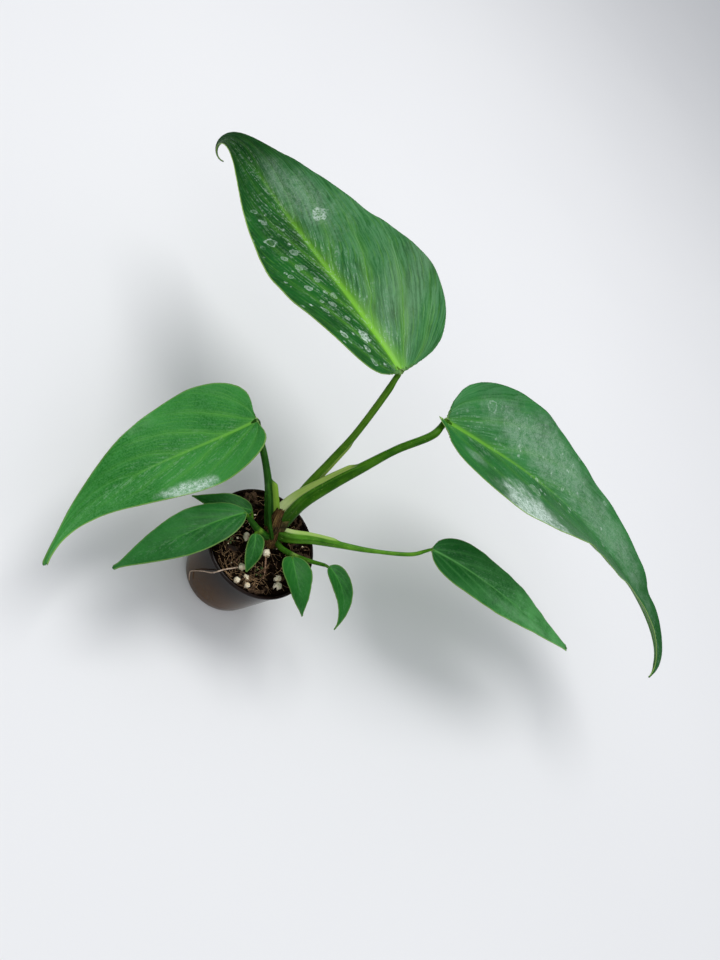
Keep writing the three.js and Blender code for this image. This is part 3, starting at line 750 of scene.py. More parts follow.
RIB = (0.19, 0.50, 0.035)
top_rings = spots_on("leaf_top", [
    (0.115, 0.30, 4.2, 0.9, 0.9), (0.125, 0.725, 2.7, 0.5, 0.9), (0.045, 0.70, 2.4, 0.3, 0.7),
    (0.28, 0.575, 2.4, 0.6, 0.7), (0.22, 0.40, 2.2, 0.8, 0.5), (0.17, 0.35, 1.8, 0.8, 0.5),
    (0.36, 0.48, 2.6, 0.8, 0.5), (0.42, 0.38, 2.8, 0.7, 0.45), (0.47, 0.675, 3.6, 0.1, 0.6),
    (0.55, 0.60, 2.0, 0.8, 0.4), (0.20, 0.62, 2.0, 0.4, 0.6), (0.33, 0.70, 1.8, 0.3, 0.6),
    (0.40, 0.60, 2.2, 0.6, 0.5), (0.60, 0.72, 2.0, 0.2, 0.5), (0.08, 0.50, 2.2, 0.5, 0.7),
    (0.25, 0.25, 2.4, 0.9, 0.4), (0.31, 0.33, 2.2, 0.9, 0.4), (0.515, -0.425, 4.6, 1.0, 0.75),
    (0.60, -0.40, 3.2, 0.6, 0.3)])
# Painted sheen on this blade's right half and its haze patch there, painted shade towards the tip.
top_green = leaf_upper(
    "leaf_top_green", (0.0, 0.035, 0.002), (0.005, 0.112, 0.011), RIB,
    [("Spots", 0.27, 0.24, 0.46, 0.30, 0.85), ("Haze And Sheen", 0.62, 0.70, 0.22, 0.24, 0.24)], top_rings,
    rib_width=3.0, rib_end=0.8, glow=0.6, vein=0.9, fleck=0.28, edge=(0.8, 0.0), pale=(0.0, 0.8), rough=0.33,
    shaded_tip=0.8, grain=0.12)
# Painted sheen on this blade's left half, haze patches of mineral haze with painted sheen, painted shade at
# the tip.
right_green = leaf_upper(
    "leaf_right_green", (0.001, 0.062, 0.006), (0.012, 0.155, 0.024), (0.13, 0.38, 0.03),
    [("Haze And Sheen", 0.215, 0.92, 0.105, 0.25, 1.2), ("Haze And Sheen", 0.07, 0.72, 0.04, 0.08, 0.25),
     ("Haze And Sheen", 0.34, 0.24, 0.30, 0.24, 0.30), ("Haze And Sheen", 0.60, 0.30, 0.26, 0.28, 0.22),
     ("Spots", 0.40, 0.40, 0.40, 0.50, 0.6)],
    spots_on("leaf_right", [(0.28, -0.30, 4.6, 0.5, 0.5), (0.12, 0.62, 4.2, 0.1, 0.4)]), rib_width=1.7,
    rib_end=0.5, glow=0.3, vein=0.55, fleck=0.18, edge=(0.0, 0.8), pale=(0.5, 0.0), rough=0.34, shaded_tip=0.8,
    grain=0.4)
# This blade's haze patch is a painted gloss highlight.
left_green = leaf_upper(
    "leaf_left_green", (0.008, 0.130, 0.010), (0.038, 0.245, 0.036), (0.14, 0.42, 0.05),
    [("Haze And Sheen", 0.37, 0.07, 0.14, 0.11, 0.95)], rib_width=1.1, rib_end=0.6, glow=0.25, vein=0.9, fleck=0.13,
    edge=(0.6, 0.3), rough=0.36, grain=0.55)
# This blade is painted in shade towards its base.
low_green = leaf_upper(
    "leaf_low_green", (0.001, 0.090, 0.007), (0.090, 0.350, 0.095), (0.110, 0.38, 0.090),
    [("Haze And Sheen", 0.60, 0.75, 0.3, 0.2, 0.10)], rib_width=0.8, rib_end=0.9, glow=0.2, vein=0.5, fleck=0.10,
    edge=(0.2, 0.6), rough=0.38, shaded_base=0.85)
near_green = leaf_upper(
    "leaf_near_green", (0.001, 0.055, 0.004), (0.014, 0.135, 0.018), (0.05, 0.24, 0.03), rib_width=0.6,
    rib_end=0.8, glow=0.2, vein=1.0, fleck=0.08, edge=(0.4, 0.2), rough=0.40, grain=0.2)
small_green = leaf_upper(
    "leaf_small_green", (0.0, 0.045, 0.002), (0.014, 0.130, 0.014), (0.045, 0.22, 0.03), rib_width=0.5,
    rib_end=0.7, glow=0.2, vein=1.0, fleck=0.05, edge=(0.3, 0.3), rough=0.42, grain=0.15)
under_green = leaf_lower("leaf_underside", (0.07, 0.19, 0.045), (0.11, 0.25, 0.07), (0.22, 0.38, 0.11))
print("leaf greens done")

# %% [markdown]
# ## Stalk green
# The stalks are olive and smooth with fine lines along them. The wings of the sheath at their foot are much
# paler, nearly yellow, and the foot itself is darker. The tube keeps a mark for the wings.

# %% Stalk material


DARK_FOOT, PALE_FOOT = (0.012, 0.045, 0.002), (0.58, 0.64, 0.36)


def stalk_green(name, dark, light, pale):
    material, tree, shader = new_tree(name)
    chart = add(tree, "ShaderNodeTexCoord").outputs["UV"]
    where = place(tree)
    lines = cloud(tree, chart, 26.0, 3.0, 0.6, stretch=(1.0, 0.06, 1.0))
    specks = steps(tree, cloud(tree, where, 900.0, 2.0), 0.66, 0.74)
    blotch = cloud(tree, where, 120.0, 4.0, 0.6)
    patches = steps(tree, times(tree, plus(tree, lines, blotch), 0.5), 0.35, 0.65)
    colour = mix(tree, patches, dark, light)
    wing = attribute(tree, "wing")
    ragged = times(tree, minus(tree, lines, 0.5), 0.35)
    soft = steps(tree, plus(tree, wing, ragged), 0.12, 0.92)
    wing_colour = mix(tree, steps(tree, lines, 0.3, 0.75), mix(tree, 0.35, pale, light), pale)
    foot = attribute(tree, "foot")
    colour = mix(tree, foot, colour, DARK_FOOT)
    wing_colour = mix(tree, times(tree, foot, 0.8), wing_colour, PALE_FOOT)
    colour = mix(tree, soft, colour, wing_colour)
    colour = mix(tree, times(tree, specks, 0.35), colour, pale)
    coat(tree, shader, colour, steps(tree, lines, 0.2, 0.8, 0.34, 0.46), 0.08)
    surface(tree, shader, lines, 0.25, 0.0003)
    return material


olive = stalk_green("stalk_olive", (0.030, 0.110, 0.003), (0.080, 0.195, 0.012), (0.24, 0.36, 0.06))
fresh = stalk_green("stalk_fresh", (0.022, 0.125, 0.002), (0.110, 0.300, 0.020), (0.36, 0.52, 0.13))
dusk = stalk_green("stalk_dusk", (0.014, 0.080, 0.001), (0.050, 0.160, 0.006), (0.33, 0.46, 0.11))
deep = stalk_green("stalk_deep", (0.006, 0.046, 0.003), (0.024, 0.098, 0.008), (0.22, 0.40, 0.04))

# %% [markdown]
# ## Leaves
# Each leaf is its blade and its knee, the short bend by which it hangs on its stalk. The small leaves have
# a short stalk of their own, down to the shoot that carries them.

# %% Build the leaves
SHOOTS = {
    "shoot_left": dict(route=[(0.5, 4.5, 55.8), (-3.5, -2.2, 59.5), (-9.5, -6, 64), (-15.6, -9.6, 69.4)],
                       radius=(3, 1.2)),
    "shoot_right": dict(route=[(1, 5.5, 55.8), (7.6, 3, 58.2), (14.7, 4.1, 61.1), (21.7, 6.3, 65.6),
                               (30.4, 10.6, 71.2)], radius=(1.9, 1.0)),
}
STALKS = {
    "petiole_right": dict(
        route=[(-3.5, 11, 63), (-5.3, 22, 71), (-3.6, 36.5, 83.5), (-0.6, 50.5, 97), (3, 68, 111.5),
               (8.6, 86, 124.5)],
        radius=(5.2, 2.3), height=0.55, end=0.5, turn=55, pale=(-27, 60), leaf="leaf_right", green=dusk),
    "petiole_left": dict(
        route=[(-2.2, 5.5, 56.5), (-8, 4.5, 63.5), (-14.7, 4.2, 72.5), (-23, 4.6, 82), (-34.5, 6.8, 89.5),
               (-46.5, 12.5, 90.4)],
        radius=(3.2, 1.9), height=1.15, end=0.56, turn=6, pale=(-62, -18), leaf="leaf_left", green=deep),
    "petiole_top": dict(
        route=[(-2, 11, 58), (-6, 20.5, 63), (-10, 31, 71), (-13.8, 44.5, 88), (-17.3, 56, 103.5),
               (-25.6, 73, 127.5)],
        radius=(3.0, 2.0), height=0.4, end=0.62, turn=-60, pale=(-55, 30), leaf="leaf_top", green=olive),
    "petiole_low_right": dict(
        route=[(0, 6.5, 57), (6, 9, 61), (14.5, 17.2, 65.5), (25.8, 25.8, 71.5), (39.8, 36.6, 78.5),
               (56, 53, 86.5)],
        radius=(3.6, 1.2), height=0.5, end=0.42, turn=20, pale=(12, 60), leaf="leaf_low_right", green=fresh),
}
CARRIED = {"leaf_low_left": ("shoot_left", 1.0), "leaf_behind": ("shoot_left", 0.8),
           "leaf_middle": ("shoot_left", 0.5), "leaf_shoot_near": ("shoot_right", 0.5),
           "leaf_shoot_far": ("shoot_right", 1.0)}
GREENS = {"leaf_top": top_green, "leaf_right": right_green, "leaf_left": left_green,
          "leaf_low_right": low_green, "leaf_low_left": near_green}
KNEE_LENGTH, KNEE_SHARE, SMALL_KNEE = 4.0, 0.83, 0.85


def knee(leaf, last, length, radius, green):
    """The bend that joins a blade to its stalk, with its foot on the line from the stalk's last place."""
    base = np.array(leaf["base"], dtype=float)
    towards = (base - last) / np.linalg.norm(base - last)
    _, ahead, _, up = rib_table(leaf, 10)
    sunk = base - up[0] * leaf["thickness"] * 0.5
    places = [base - towards * length, sunk, sunk + ahead[0] * max(2, radius * 2)]
    made = tube("knee", places, 20, 16, lambda s, angle: radius * (1 - 0.45 * s**2),
                lambda s, angle: {"wing": 0 * s, "foot": 0 * s})
    made.data.materials.append(green)
    return made


for name, leaf in LEAVES.items():
    skin = blade(name, leaf, GREENS.get(name, small_green), under_green)
    if name in CARRIED:
        carrier, share_along = CARRIED[name]
        line, _ = smooth_route(SHOOTS[carrier]["route"], 201)
        last = line[int(round(share_along * 200))]
        reach = float(np.linalg.norm(np.array(leaf["base"]) - last))
        bend = knee(leaf, last, reach, SMALL_KNEE, olive)
    else:
        spec = next(s for s in STALKS.values() if s["leaf"] == name)
        bend = knee(leaf, np.array(spec["route"][-1], dtype=float), KNEE_LENGTH + 0.6,
                    spec["radius"][1] * KNEE_SHARE, spec["green"])
    finish_piece(one_piece(name + "_blade", [skin, bend]), [name], angle=60)

# %% [markdown]
# ## Stalks
# A stalk is a tube whose section changes: round near the leaf, and near its foot a channel between two thin
# wings, which once wrapped the next leaf.

# %% Build the stalks


def smooth_step(value, low, high):
    t = np.clip((value - low) / (high - low), 0, 1)
    return t * t * (3 - 2 * t)


def stalk_piece(name, spec):
    base = np.array(LEAVES[spec["leaf"]]["base"], dtype=float)
    last = np.array(spec["route"][-1], dtype=float)
    towards = (base - last) / np.linalg.norm(base - last)
    route = [*spec["route"], tuple(base - towards * KNEE_LENGTH)]
    low, high = spec["radius"]
    turned = math.radians(spec["turn"])
    pale_from, pale_to = (math.radians(v) for v in spec["pale"])

    def radius(s, angle):
        off = np.abs(np.arctan2(np.sin(angle - turned), np.cos(angle - turned)))
        open_part = 1 - smooth_step(s, spec["end"] - 0.06, spec["end"])
        r = low + (high - low) * np.minimum(1, s * 1.5) ** 0.8
        wing = np.exp(-(((off - 0.75) / 0.34) ** 2)) * open_part
        channel = 0.3 * spec["height"] * np.exp(-((off / 0.4) ** 2)) * open_part
        waist = smooth_step(s, 0.93, 1) * (r - high * KNEE_SHARE)
        return r * (1 + 1.12 * spec["height"] * wing - channel) - waist

    def marks(s, angle):
        off = np.arctan2(np.sin(angle - turned), np.cos(angle - turned))
        open_part = 1 - smooth_step(s, spec["end"] - 0.08, spec["end"] + 0.02)
        pale = smooth_step(off, pale_from - 0.22, pale_from + 0.22)
        pale = pale * (1 - smooth_step(off, pale_to - 0.1, pale_to + 0.1))
        return {"wing": pale * open_part, "foot": (1 - smooth_step(s, 0.02, 0.18)) * 0.8}

    piece = tube(name, route, 48, 120, radius, marks)
    piece.data.materials.append(spec["green"])
    finish_piece(piece, [name.replace("_stalk", "")], angle=60)


for name, spec in STALKS.items():
    stalk_piece(name + "_stalk", spec)

for name, spec in SHOOTS.items():
    low, high = spec["radius"]
    swell = 0.12 if name == "shoot_left" else 0.04
    piece = tube(name + "_shoot", spec["route"], 28, 60,
                 lambda s, angle: (low + (high - low) * s) * (1 + swell * np.sin(s * 19) * (1 - s)),
                 lambda s, angle: {"wing": np.exp(-(((s - 0.5) / 0.08) ** 2)) * 0.55,
                                   "foot": 1 - smooth_step(s, 0.1, 0.3)})
    piece.data.materials.append(deep if name == "shoot_left" else dusk)
    finish_piece(piece, [name], angle=60)

# %% [markdown]
# ## Stem and dry sheaths
# The stem is short and ringed with the scars of old leaves. Around its foot stand the dry brown remains of
# the first sheaths: thin, ribbed lengthwise, torn at the top and curled.

# %% Stem


def bark_brown(name, dark, light, warm):
    material, tree, shader = new_tree(name)
    chart = add(tree, "ShaderNodeTexCoord").outputs["UV"]
    where = place(tree)
    fibres = cloud(tree, chart, 22.0, 4.0, 0.7, stretch=(1.0, 0.10, 1.0))
    blotch = cloud(tree, where, 160.0, 4.0, 0.6)
    colour = mix(tree, steps(tree, blotch, 0.4, 0.6), dark, light)
    colour = mix(tree, steps(tree, fibres, 0.50, 0.66), colour, warm)
    coat(tree, shader, colour, 0.72, 0.1)
    surface(tree, shader, plus(tree, fibres, times(tree, blotch, 0.5)), 0.6, 0.0006)
    return material


STEM_ROUTE = [(2, 5, 40), (0.5, 6, 54), (-4, 10, 67)]
stem_brown = bark_brown("stem_brown", (0.020, 0.014, 0.006), (0.070, 0.060, 0.018), (0.11, 0.085, 0.03))
husk_brown = bark_brown("husk_brown", (0.006, 0.003, 0.002), (0.060, 0.030, 0.010), (0.26, 0.17, 0.055))


def ringed_radius(s, angle):
    """The stem narrows upwards, has a ring at each scar and isn't quite round."""
    return (4.9 - 0.7 * s) * (1 + 0.035 * np.sin(s * 50) + 0.03 * np.sin(3 * angle + 9 * s))


stem = tube("stem_crown", STEM_ROUTE, 48, 96, ringed_radius, lambda s, angle: {"wing": 0 * s, "foot": 0 * s})
stem.data.materials.append(stem_brown)
finish_piece(stem, ["stem"], angle=60)

# %% Dry sheath


def torn_sheet(name, route, half, bulge, thickness, facing, seed, columns=28, rows=44, ragged=0.16):
    """A thin dry tongue on a route, with a torn top and ribs along it. facing turns it about Z."""
    line, ways = smooth_route(route, rows * 4 + 1)
    side = np.array([-math.cos(math.radians(facing)), -math.sin(math.radians(facing)), 0.0])
    rng = np.random.default_rng(seed)
    phases = rng.uniform(0, 6.28, 5)

    def formula(s, across):
        u = -across
        tear = 1 - ragged * (0.5 + 0.28 * np.sin(7 * u + phases[0]) + 0.22 * np.sin(17 * u + phases[1]))
        reach = s * tear
        row = np.rint(reach * (len(line) - 1)).astype(int)
        way = ways[row]
        level = side - way * (way @ side)[:, None]
        level /= np.linalg.norm(level, axis=1, keepdims=True)
        out = np.cross(way, level)
        width = half[0] + (half[1] - half[0]) * reach
        ribs = 0.10 * np.sin(u * 15 + phases[2]) + 0.14 * np.sin(reach * 9 + u * 3 + phases[3])
        curl = -bulge * u**2 * (1 - 0.5 * reach) + ribs + 0.5 * reach**3 * np.sin(4 * u + phases[4])
        where = line[row] + level * (width * u)[:, None] + out * (curl + thickness / 2)[:, None]
        return where, {}

    piece = grid_piece(name, columns, rows, formula)
    thicken(piece, thickness)
    piece.data.materials.append(husk_brown)
    return piece


SHEATH_ROUTE = [(1.6, 0.4, 55.5), (-2.8, 2.4, 64), (-9, 6.6, 74.6)]
sheath = torn_sheet("dry_sheath_torn", SHEATH_ROUTE, (4.6, 2.3), 1.5, 0.5, 14, 3, ragged=0.05)
finish_piece(sheath, ["dry_sheath"], angle=60)
HUSKS = [([(4.6, -0.4, 53.5), (3.4, 0.2, 57), (1.2, 1.2, 60.5)], 3.6, 30),
         ([(-3.6, 0.2, 53.3), (-4.6, 1.0, 57.5), (-6.2, 2.2, 61)], 3.2, -30),
         ([(0.6, -1.2, 53.2), (-0.4, -0.9, 56), (-1.9, 0.2, 59.4)], 3.8, 6),
         ([(7.4, 4.6, 53.2), (6.6, 5.6, 57), (5.4, 6.6, 60)], 3.2, 80)]
husks = [torn_sheet("husk", route, (half, half * 0.6), 1.4, 0.35, facing, 10 + i, 18, 20, 0.35)
         for i, (route, half, facing) in enumerate(HUSKS)]
finish_piece(one_piece("crown_husks", husks), angle=60)

# %% [markdown]
# ## Pot
# A nursery pot is blown or pressed from thin plastic. Its wall is a turned profile, so the profile is drawn
# once and spun round the Z axis. The rim is rolled outwards a little, and the floor has drain holes.

# %% Pot
HEIGHT, RIM, BASE, WALL, ROLL = 52.0, 32.5, 24.6, 1.0, 0.5
SLOPE = (RIM - ROLL - BASE) / HEIGHT
DRAIN_HOLES, DRAIN_RADIUS, DRAIN_CIRCLE = 5, 2.6, 15


def around(radius, angle):
    """The place at a radius and an angle about the Z axis."""
    return radius * math.cos(angle), radius * math.sin(angle)


def inner_radius(z):
    return BASE + SLOPE * z - WALL


profile = [(0, 0), (BASE - 2.2, 0), (BASE - 1.0, 0.15), (BASE - 0.25, 0.6), (BASE, 1.4)]
profile += [(BASE + SLOPE * z, z) for z in (8, 16, 24, 32, 40, 46)]
profile += [(RIM - 0.5 - SLOPE * 2.6, 49.4), (RIM - 0.12, 49.9), (RIM, 50.4), (RIM, 51.4),
            (RIM - 0.18, 51.82), (RIM - 0.6, 52), (inner_radius(52) + 0.35, 52),
            (inner_radius(52) + 0.08, 51.8), (inner_radius(51), 51)]
profile += [(inner_radius(z), z) for z in (40, 30, 20, 10, 2.2)]
profile += [(inner_radius(1.3) - 0.8, 1.05), (inner_radius(1) - 2, WALL), (0, WALL)]
deselect()
bpy.ops.mesh.primitive_plane_add(size=1, location=(0, 0, 0))
pot = bpy.context.object
pot.name = pot.data.name = "pot_turned"
pot.data.clear_geometry()
edges = [(i, i + 1) for i in range(len(profile) - 1)]
pot.data.from_pydata([(r * MM, 0, z * MM) for r, z in profile], edges, [])
pick(pot)
bpy.ops.object.mode_set(mode="EDIT")
bpy.ops.mesh.select_all(action="SELECT")
bpy.ops.mesh.spin(steps=120, angle=2 * math.pi, center=(0, 0, 0), axis=(0, 0, 1))
bpy.ops.mesh.select_all(action="SELECT")
bpy.ops.mesh.remove_doubles(threshold=1e-6)
bpy.ops.mesh.normals_make_consistent(inside=False)
bpy.ops.object.mode_set(mode="OBJECT")
cutters = []
for i in range(DRAIN_HOLES):
    x, y = around(DRAIN_CIRCLE * MM, 2 * math.pi * i / DRAIN_HOLES)
    bpy.ops.mesh.primitive_cylinder_add(vertices=32, radius=DRAIN_RADIUS * MM, depth=6 * MM,
                                        location=(x, y, 0.5 * MM))
    cutters.append(bpy.context.object)
cutter = one_piece("drain_cutter", cutters)
pick(pot)
cut = pot.modifiers.new("drain holes", "BOOLEAN")
cut.object = cutter
cut.solver = "EXACT"
bpy.ops.object.modifier_apply(modifier="drain holes")
bpy.data.objects.remove(cutter)

paint, tree, shader = new_tree("pot_plastic")
where = place(tree)
dust = steps(tree, cloud(tree, where, 55.0, 5.0, 0.65), 0.45, 0.75)
scuffs = cloud(tree, where, 130.0, 3.0, 0.6, stretch=(1.0, 1.0, 7.0))
height_mm = times(tree, add(tree, "ShaderNodeSeparateXYZ", {0: where}).outputs[2], 1000.0)
near_rim = steps(tree, height_mm, 44.0, 51.0)
# Painted reflection: warm brown low on the wall, near black at the rim; a little dust adds to it.
painted_reflection_and_dust = plus(tree, steps(tree, height_mm, 4.0, 50.0, 0.9, 0.0), times(tree, dust, 0.1))
colour = mix(tree, painted_reflection_and_dust, (0.009, 0.005, 0.004), (0.078, 0.034, 0.007))
colour = mix(tree, times(tree, near_rim, times(tree, dust, 0.5)), colour, (0.06, 0.035, 0.02))
rough = plus(tree, steps(tree, scuffs, 0.35, 0.75, 0.08, 0.20), times(tree, dust, 0.12))
coat(tree, shader, colour, rough, 0.08)
surface(tree, shader, scuffs, 0.08, 0.0004)
pot.data.materials.append(paint)
finish_piece(pot, ["pot"], angle=35)

# %% [markdown]
# ## Potting mix
# The soil is a dark crumbly bed. Its top is the solids' low mound with finer lumps. Crumbs, bark, perlite,
# coir fibres, moss and thin roots lie on it. Each of these is modelled once, then copied with a seeded
# turn and size, and every copy is sunk a little, so nothing floats.

# %% Soil bed
SOIL = dict(edge=50.6, mound=2.6, mound_width=15.0, crumb=0.55, wall_gap=0.45, wall_drop=0.6, floor=1.3)
TOP_END, WALL_END, WALL_SPAN, FLOOR_SPAN = 0.86, 0.94, 0.08, 0.06


def soil_height(x, y):
    from_stem = np.hypot(x - STEM_ROUTE[1][0], y - STEM_ROUTE[1][1])
    mound = SOIL["mound"] * np.exp(-((from_stem / SOIL["mound_width"]) ** 2))
    coarse = np.sin(0.9 * x + 1.3 * y) + np.sin(1.7 * x - 0.6 * y + 2)
    return SOIL["edge"] + mound + SOIL["crumb"] * 0.6 * (coarse + np.sin(0.5 * x - 1.9 * y + 4))


def lump_noise(x, y, scale, seed):
    return np.array([noise.noise(Vector((a * scale, b * scale, seed))) for a, b in zip(x, y)])


def soil_formula(along, across):
    """along runs from the middle of the top, out to the wall, down it and back to the middle of the floor."""
    angle = -across * np.pi
    top = np.clip(along / TOP_END, 0, 1)
    radius = (inner_radius(SOIL["edge"]) - SOIL["wall_gap"]) * top
    x, y = radius * np.cos(angle), radius * np.sin(angle)
    z = soil_height(x, y) + 0.55 * lump_noise(x, y, 0.55, 1.0) + 0.45 * lump_noise(x, y, 1.5, 5.0)
    shoulder = SOIL["edge"] - SOIL["wall_drop"]
    z = np.where(top > 0.97, shoulder, z)
    past_top = along > TOP_END + 0.001
    down = np.clip((along - TOP_END) / WALL_SPAN, 0, 1)
    z = np.where(past_top, shoulder - (shoulder - SOIL["floor"]) * down, z)
    floor_share = np.clip((along - WALL_END) / FLOOR_SPAN, 0, 1)
    radius = np.where(past_top, (inner_radius(z) - SOIL["wall_gap"]) * (1 - floor_share), radius)
    z = np.where(along >= WALL_END, SOIL["floor"], z)
    return np.stack([radius * np.cos(angle), radius * np.sin(angle), z], axis=1), {}


bed = grid_piece("soil_bed", 150, 100, soil_formula)
weld(bed, 2e-6)


def soil_material(name, dark, mid, light):
    material, tree, shader = new_tree(name)
    where = place(tree)
    grains = cloud(tree, where, 700.0, 5.0, 0.75)
    patches = cloud(tree, where, 140.0, 3.0, 0.6)
    colour = mix(tree, steps(tree, grains, 0.35, 0.62), dark, mid)
    colour = mix(tree, times(tree, steps(tree, grains, 0.6, 0.8), steps(tree, patches, 0.4, 0.65)),
                 colour, light)
    coat(tree, shader, colour, 0.95, 0.03)
    surface(tree, shader, grains, 0.9, 0.0012)
    return material


mix_brown = soil_material("potting_mix", (0.0020, 0.0010, 0.0006), (0.012, 0.006, 0.0028),
                          (0.075, 0.042, 0.018))
bed.data.materials.append(mix_brown)
finish_piece(bed, ["soil"], angle=80)

# %% Seeded draws, as in the solids


def seeded(seed):
    """The same small generator as in the solids, so that chips, roots and perlite keep their places."""
    state = seed
    while True:
        state = (state * 1664525 + 1013904223) % 4294967296
        yield state / 4294967296


def turned_by(degrees):
    x, y, z = (math.radians(v) for v in degrees)
    return Matrix.Rotation(z, 3, "Z") @ Matrix.Rotation(y, 3, "Y") @ Matrix.Rotation(x, 3, "X")


def lump_model(name, divisions, rough, seed, squash=(1, 1, 1)):
    """One lump of about 1 mm radius: an ico sphere whose corners are pushed in and out by noise."""
    deselect()
    bpy.ops.mesh.primitive_ico_sphere_add(subdivisions=divisions, radius=1, location=(0, 0, 0))
    model = bpy.context.object
    model.name = name
    places = corners(model)
    push = np.array([noise.noise(Vector(p) * 1.6 + Vector((seed, 0, 0))) for p in places])
    push += 0.5 * np.array([noise.noise(Vector(p) * 3.7 + Vector((0, seed, 0))) for p in places])
    set_corners(model, places * (1 + rough * push)[:, None] * np.array(squash))
    return model


def scatter(name, models, copies, material):
    """Copy the models to places: (model number, place in mm, size in mm, 3x3 turn). One mesh for all."""
    shapes = []
    for model in models:
        shapes.append((corners(model), [tuple(p.vertices) for p in model.data.polygons]))
    points, faces, start = [], [], 0
    for which, where, size, turn_by in copies:
        shape, shape_faces = shapes[which]
        moved = (shape * np.array(size)) @ np.array(turn_by).T + np.array(where)
        points.append(moved * MM)
        faces += [tuple(start + i for i in face) for face in shape_faces]
        start += len(shape)
    mesh = bpy.data.meshes.new(name)
    mesh.from_pydata(np.concatenate(points).tolist(), [], faces)
    piece = bpy.data.objects.new(name, mesh)
    bpy.context.scene.collection.objects.link(piece)
    for model in models:
        bpy.data.objects.remove(model)
    mesh.materials.append(material)
    return piece


def random_turn(rng):
    return turned_by(rng.uniform(0, 360, 3))


def open_spot(rng, low=6.5, high=29.5):
    """A seeded place on the open soil, clear of the stem."""
    while True:
        radius, angle = high * math.sqrt(rng.uniform(0.02, 1)), rng.uniform(0, 2 * math.pi)
        x, y = radius * math.cos(angle), radius * math.sin(angle)
        if math.hypot(x - 0.5, y - 6) > low:
            return x, y


# %% Crumbs
rng = np.random.default_rng(11)
CRUMBS = ((1, (1, 0.8, 0.7)), (4, (1, 1, 0.6)), (9, (1.3, 0.7, 0.6)))
crumb_models = [lump_model("crumb", 2, 0.75, s, q) for s, q in CRUMBS]
copies = []
for _ in range(620):
    x, y = open_spot(rng, 5.0)
    size = 0.45 + 1.25 * rng.uniform() ** 2.2
    z = float(soil_height(x, y)) + size * rng.uniform(-0.1, 0.45)
    copies.append((int(rng.integers(3)), (x, y, z), (size, size, size), random_turn(rng)))
crumbs = scatter("soil_crumbs", crumb_models, copies, mix_brown)
finish_piece(crumbs, ["soil"], angle=60)

# %% Perlite
PERLITE = [(8, -27), (10, -21.5), (13.5, -24), (4, -20), (6, -3.5), (21, -6), (24, -9), (-15, 17), (-21, -5)]
paint, tree, shader = new_tree("perlite_white")
where = place(tree)
pits = add(tree, "ShaderNodeTexVoronoi", {"Vector": where, "Scale": 1500.0}).outputs["Distance"]
stain = steps(tree, cloud(tree, where, 350.0, 4.0, 0.7), 0.42, 0.7)
join(tree, mix(tree, stain, (0.92, 0.84, 0.64), (0.62, 0.44, 0.22)), shader.inputs["Base Color"])
shader.inputs["Roughness"].default_value = 0.85
shader.inputs["Specular IOR Level"].default_value = 0.2
surface(tree, shader, pits, 0.8, 0.0006)
draw = seeded(7)
perlite_models = [lump_model("perlite", 3, 0.30, 2), lump_model("perlite", 3, 0.35, 7)]
copies = []
for i, (x, y) in enumerate(PERLITE):
    size = 1.7 + 0.9 * next(draw)
    turn_by = turned_by([90 * next(draw), 90 * next(draw), 90 * next(draw)])
    z = float(soil_height(x, y)) + size * 0.25
    copies.append((i % 2, (x, y, z), (size * 1.15, size * 0.95, size * 0.9), turn_by))
copies.append((0, (-8, -6.6, float(soil_height(-8, -6.6)) + 1.0), (2.9, 1.8, 1.7), turned_by([10, 20, 130])))
rng = np.random.default_rng(23)
for i in range(24):
    x, y = open_spot(rng, 6)
    size = rng.uniform(0.3, 0.7)
    lump_z = float(soil_height(x, y)) + 0.35 + size * 0.2
    copies.append((i % 2, (x, y, lump_z), (size, size, size), random_turn(rng)))
perlite = scatter("perlite_lumps", perlite_models, copies, paint)
finish_piece(perlite, ["soil"], angle=60)

# %% Coir lumps
rng = np.random.default_rng(61)
coir_models = [lump_model("coir_lump", 2, 0.85, s, q) for s, q in ((3, (1.2, 0.8, 0.6)), (8, (1, 0.9, 0.5)))]
copies = []
for cx, cy, spread, count, largest in ((25.5, 14.5, 2.2, 40, 2.6), (16, 13, 2.2, 20, 1.7),
                                       (-25, 13, 2.2, 26, 1.7),
                                       (1.5, 28, 1.8, 12, 1.7), (18, -22, 2.0, 10, 1.7)):
    for _ in range(count):
        x, y = cx + rng.normal(0, spread), cy + rng.normal(0, spread)
        reach = math.hypot(x, y)
        x, y = (x * 29.2 / reach, y * 29.2 / reach) if reach > 29.2 else (x, y)
        size = rng.uniform(0.5, largest)
        copies.append((int(rng.integers(2)), (x, y, float(soil_height(x, y)) + rng.uniform(0.1, 0.7) * size),
                       (size, size, size), random_turn(rng)))
coir_lumps = scatter("coir_lumps", coir_models, copies, soil_material(
    "coir_brown", (0.030, 0.018, 0.010), (0.130, 0.080, 0.048), (0.28, 0.19, 0.12)))
finish_piece(coir_lumps, ["soil"], angle=60)

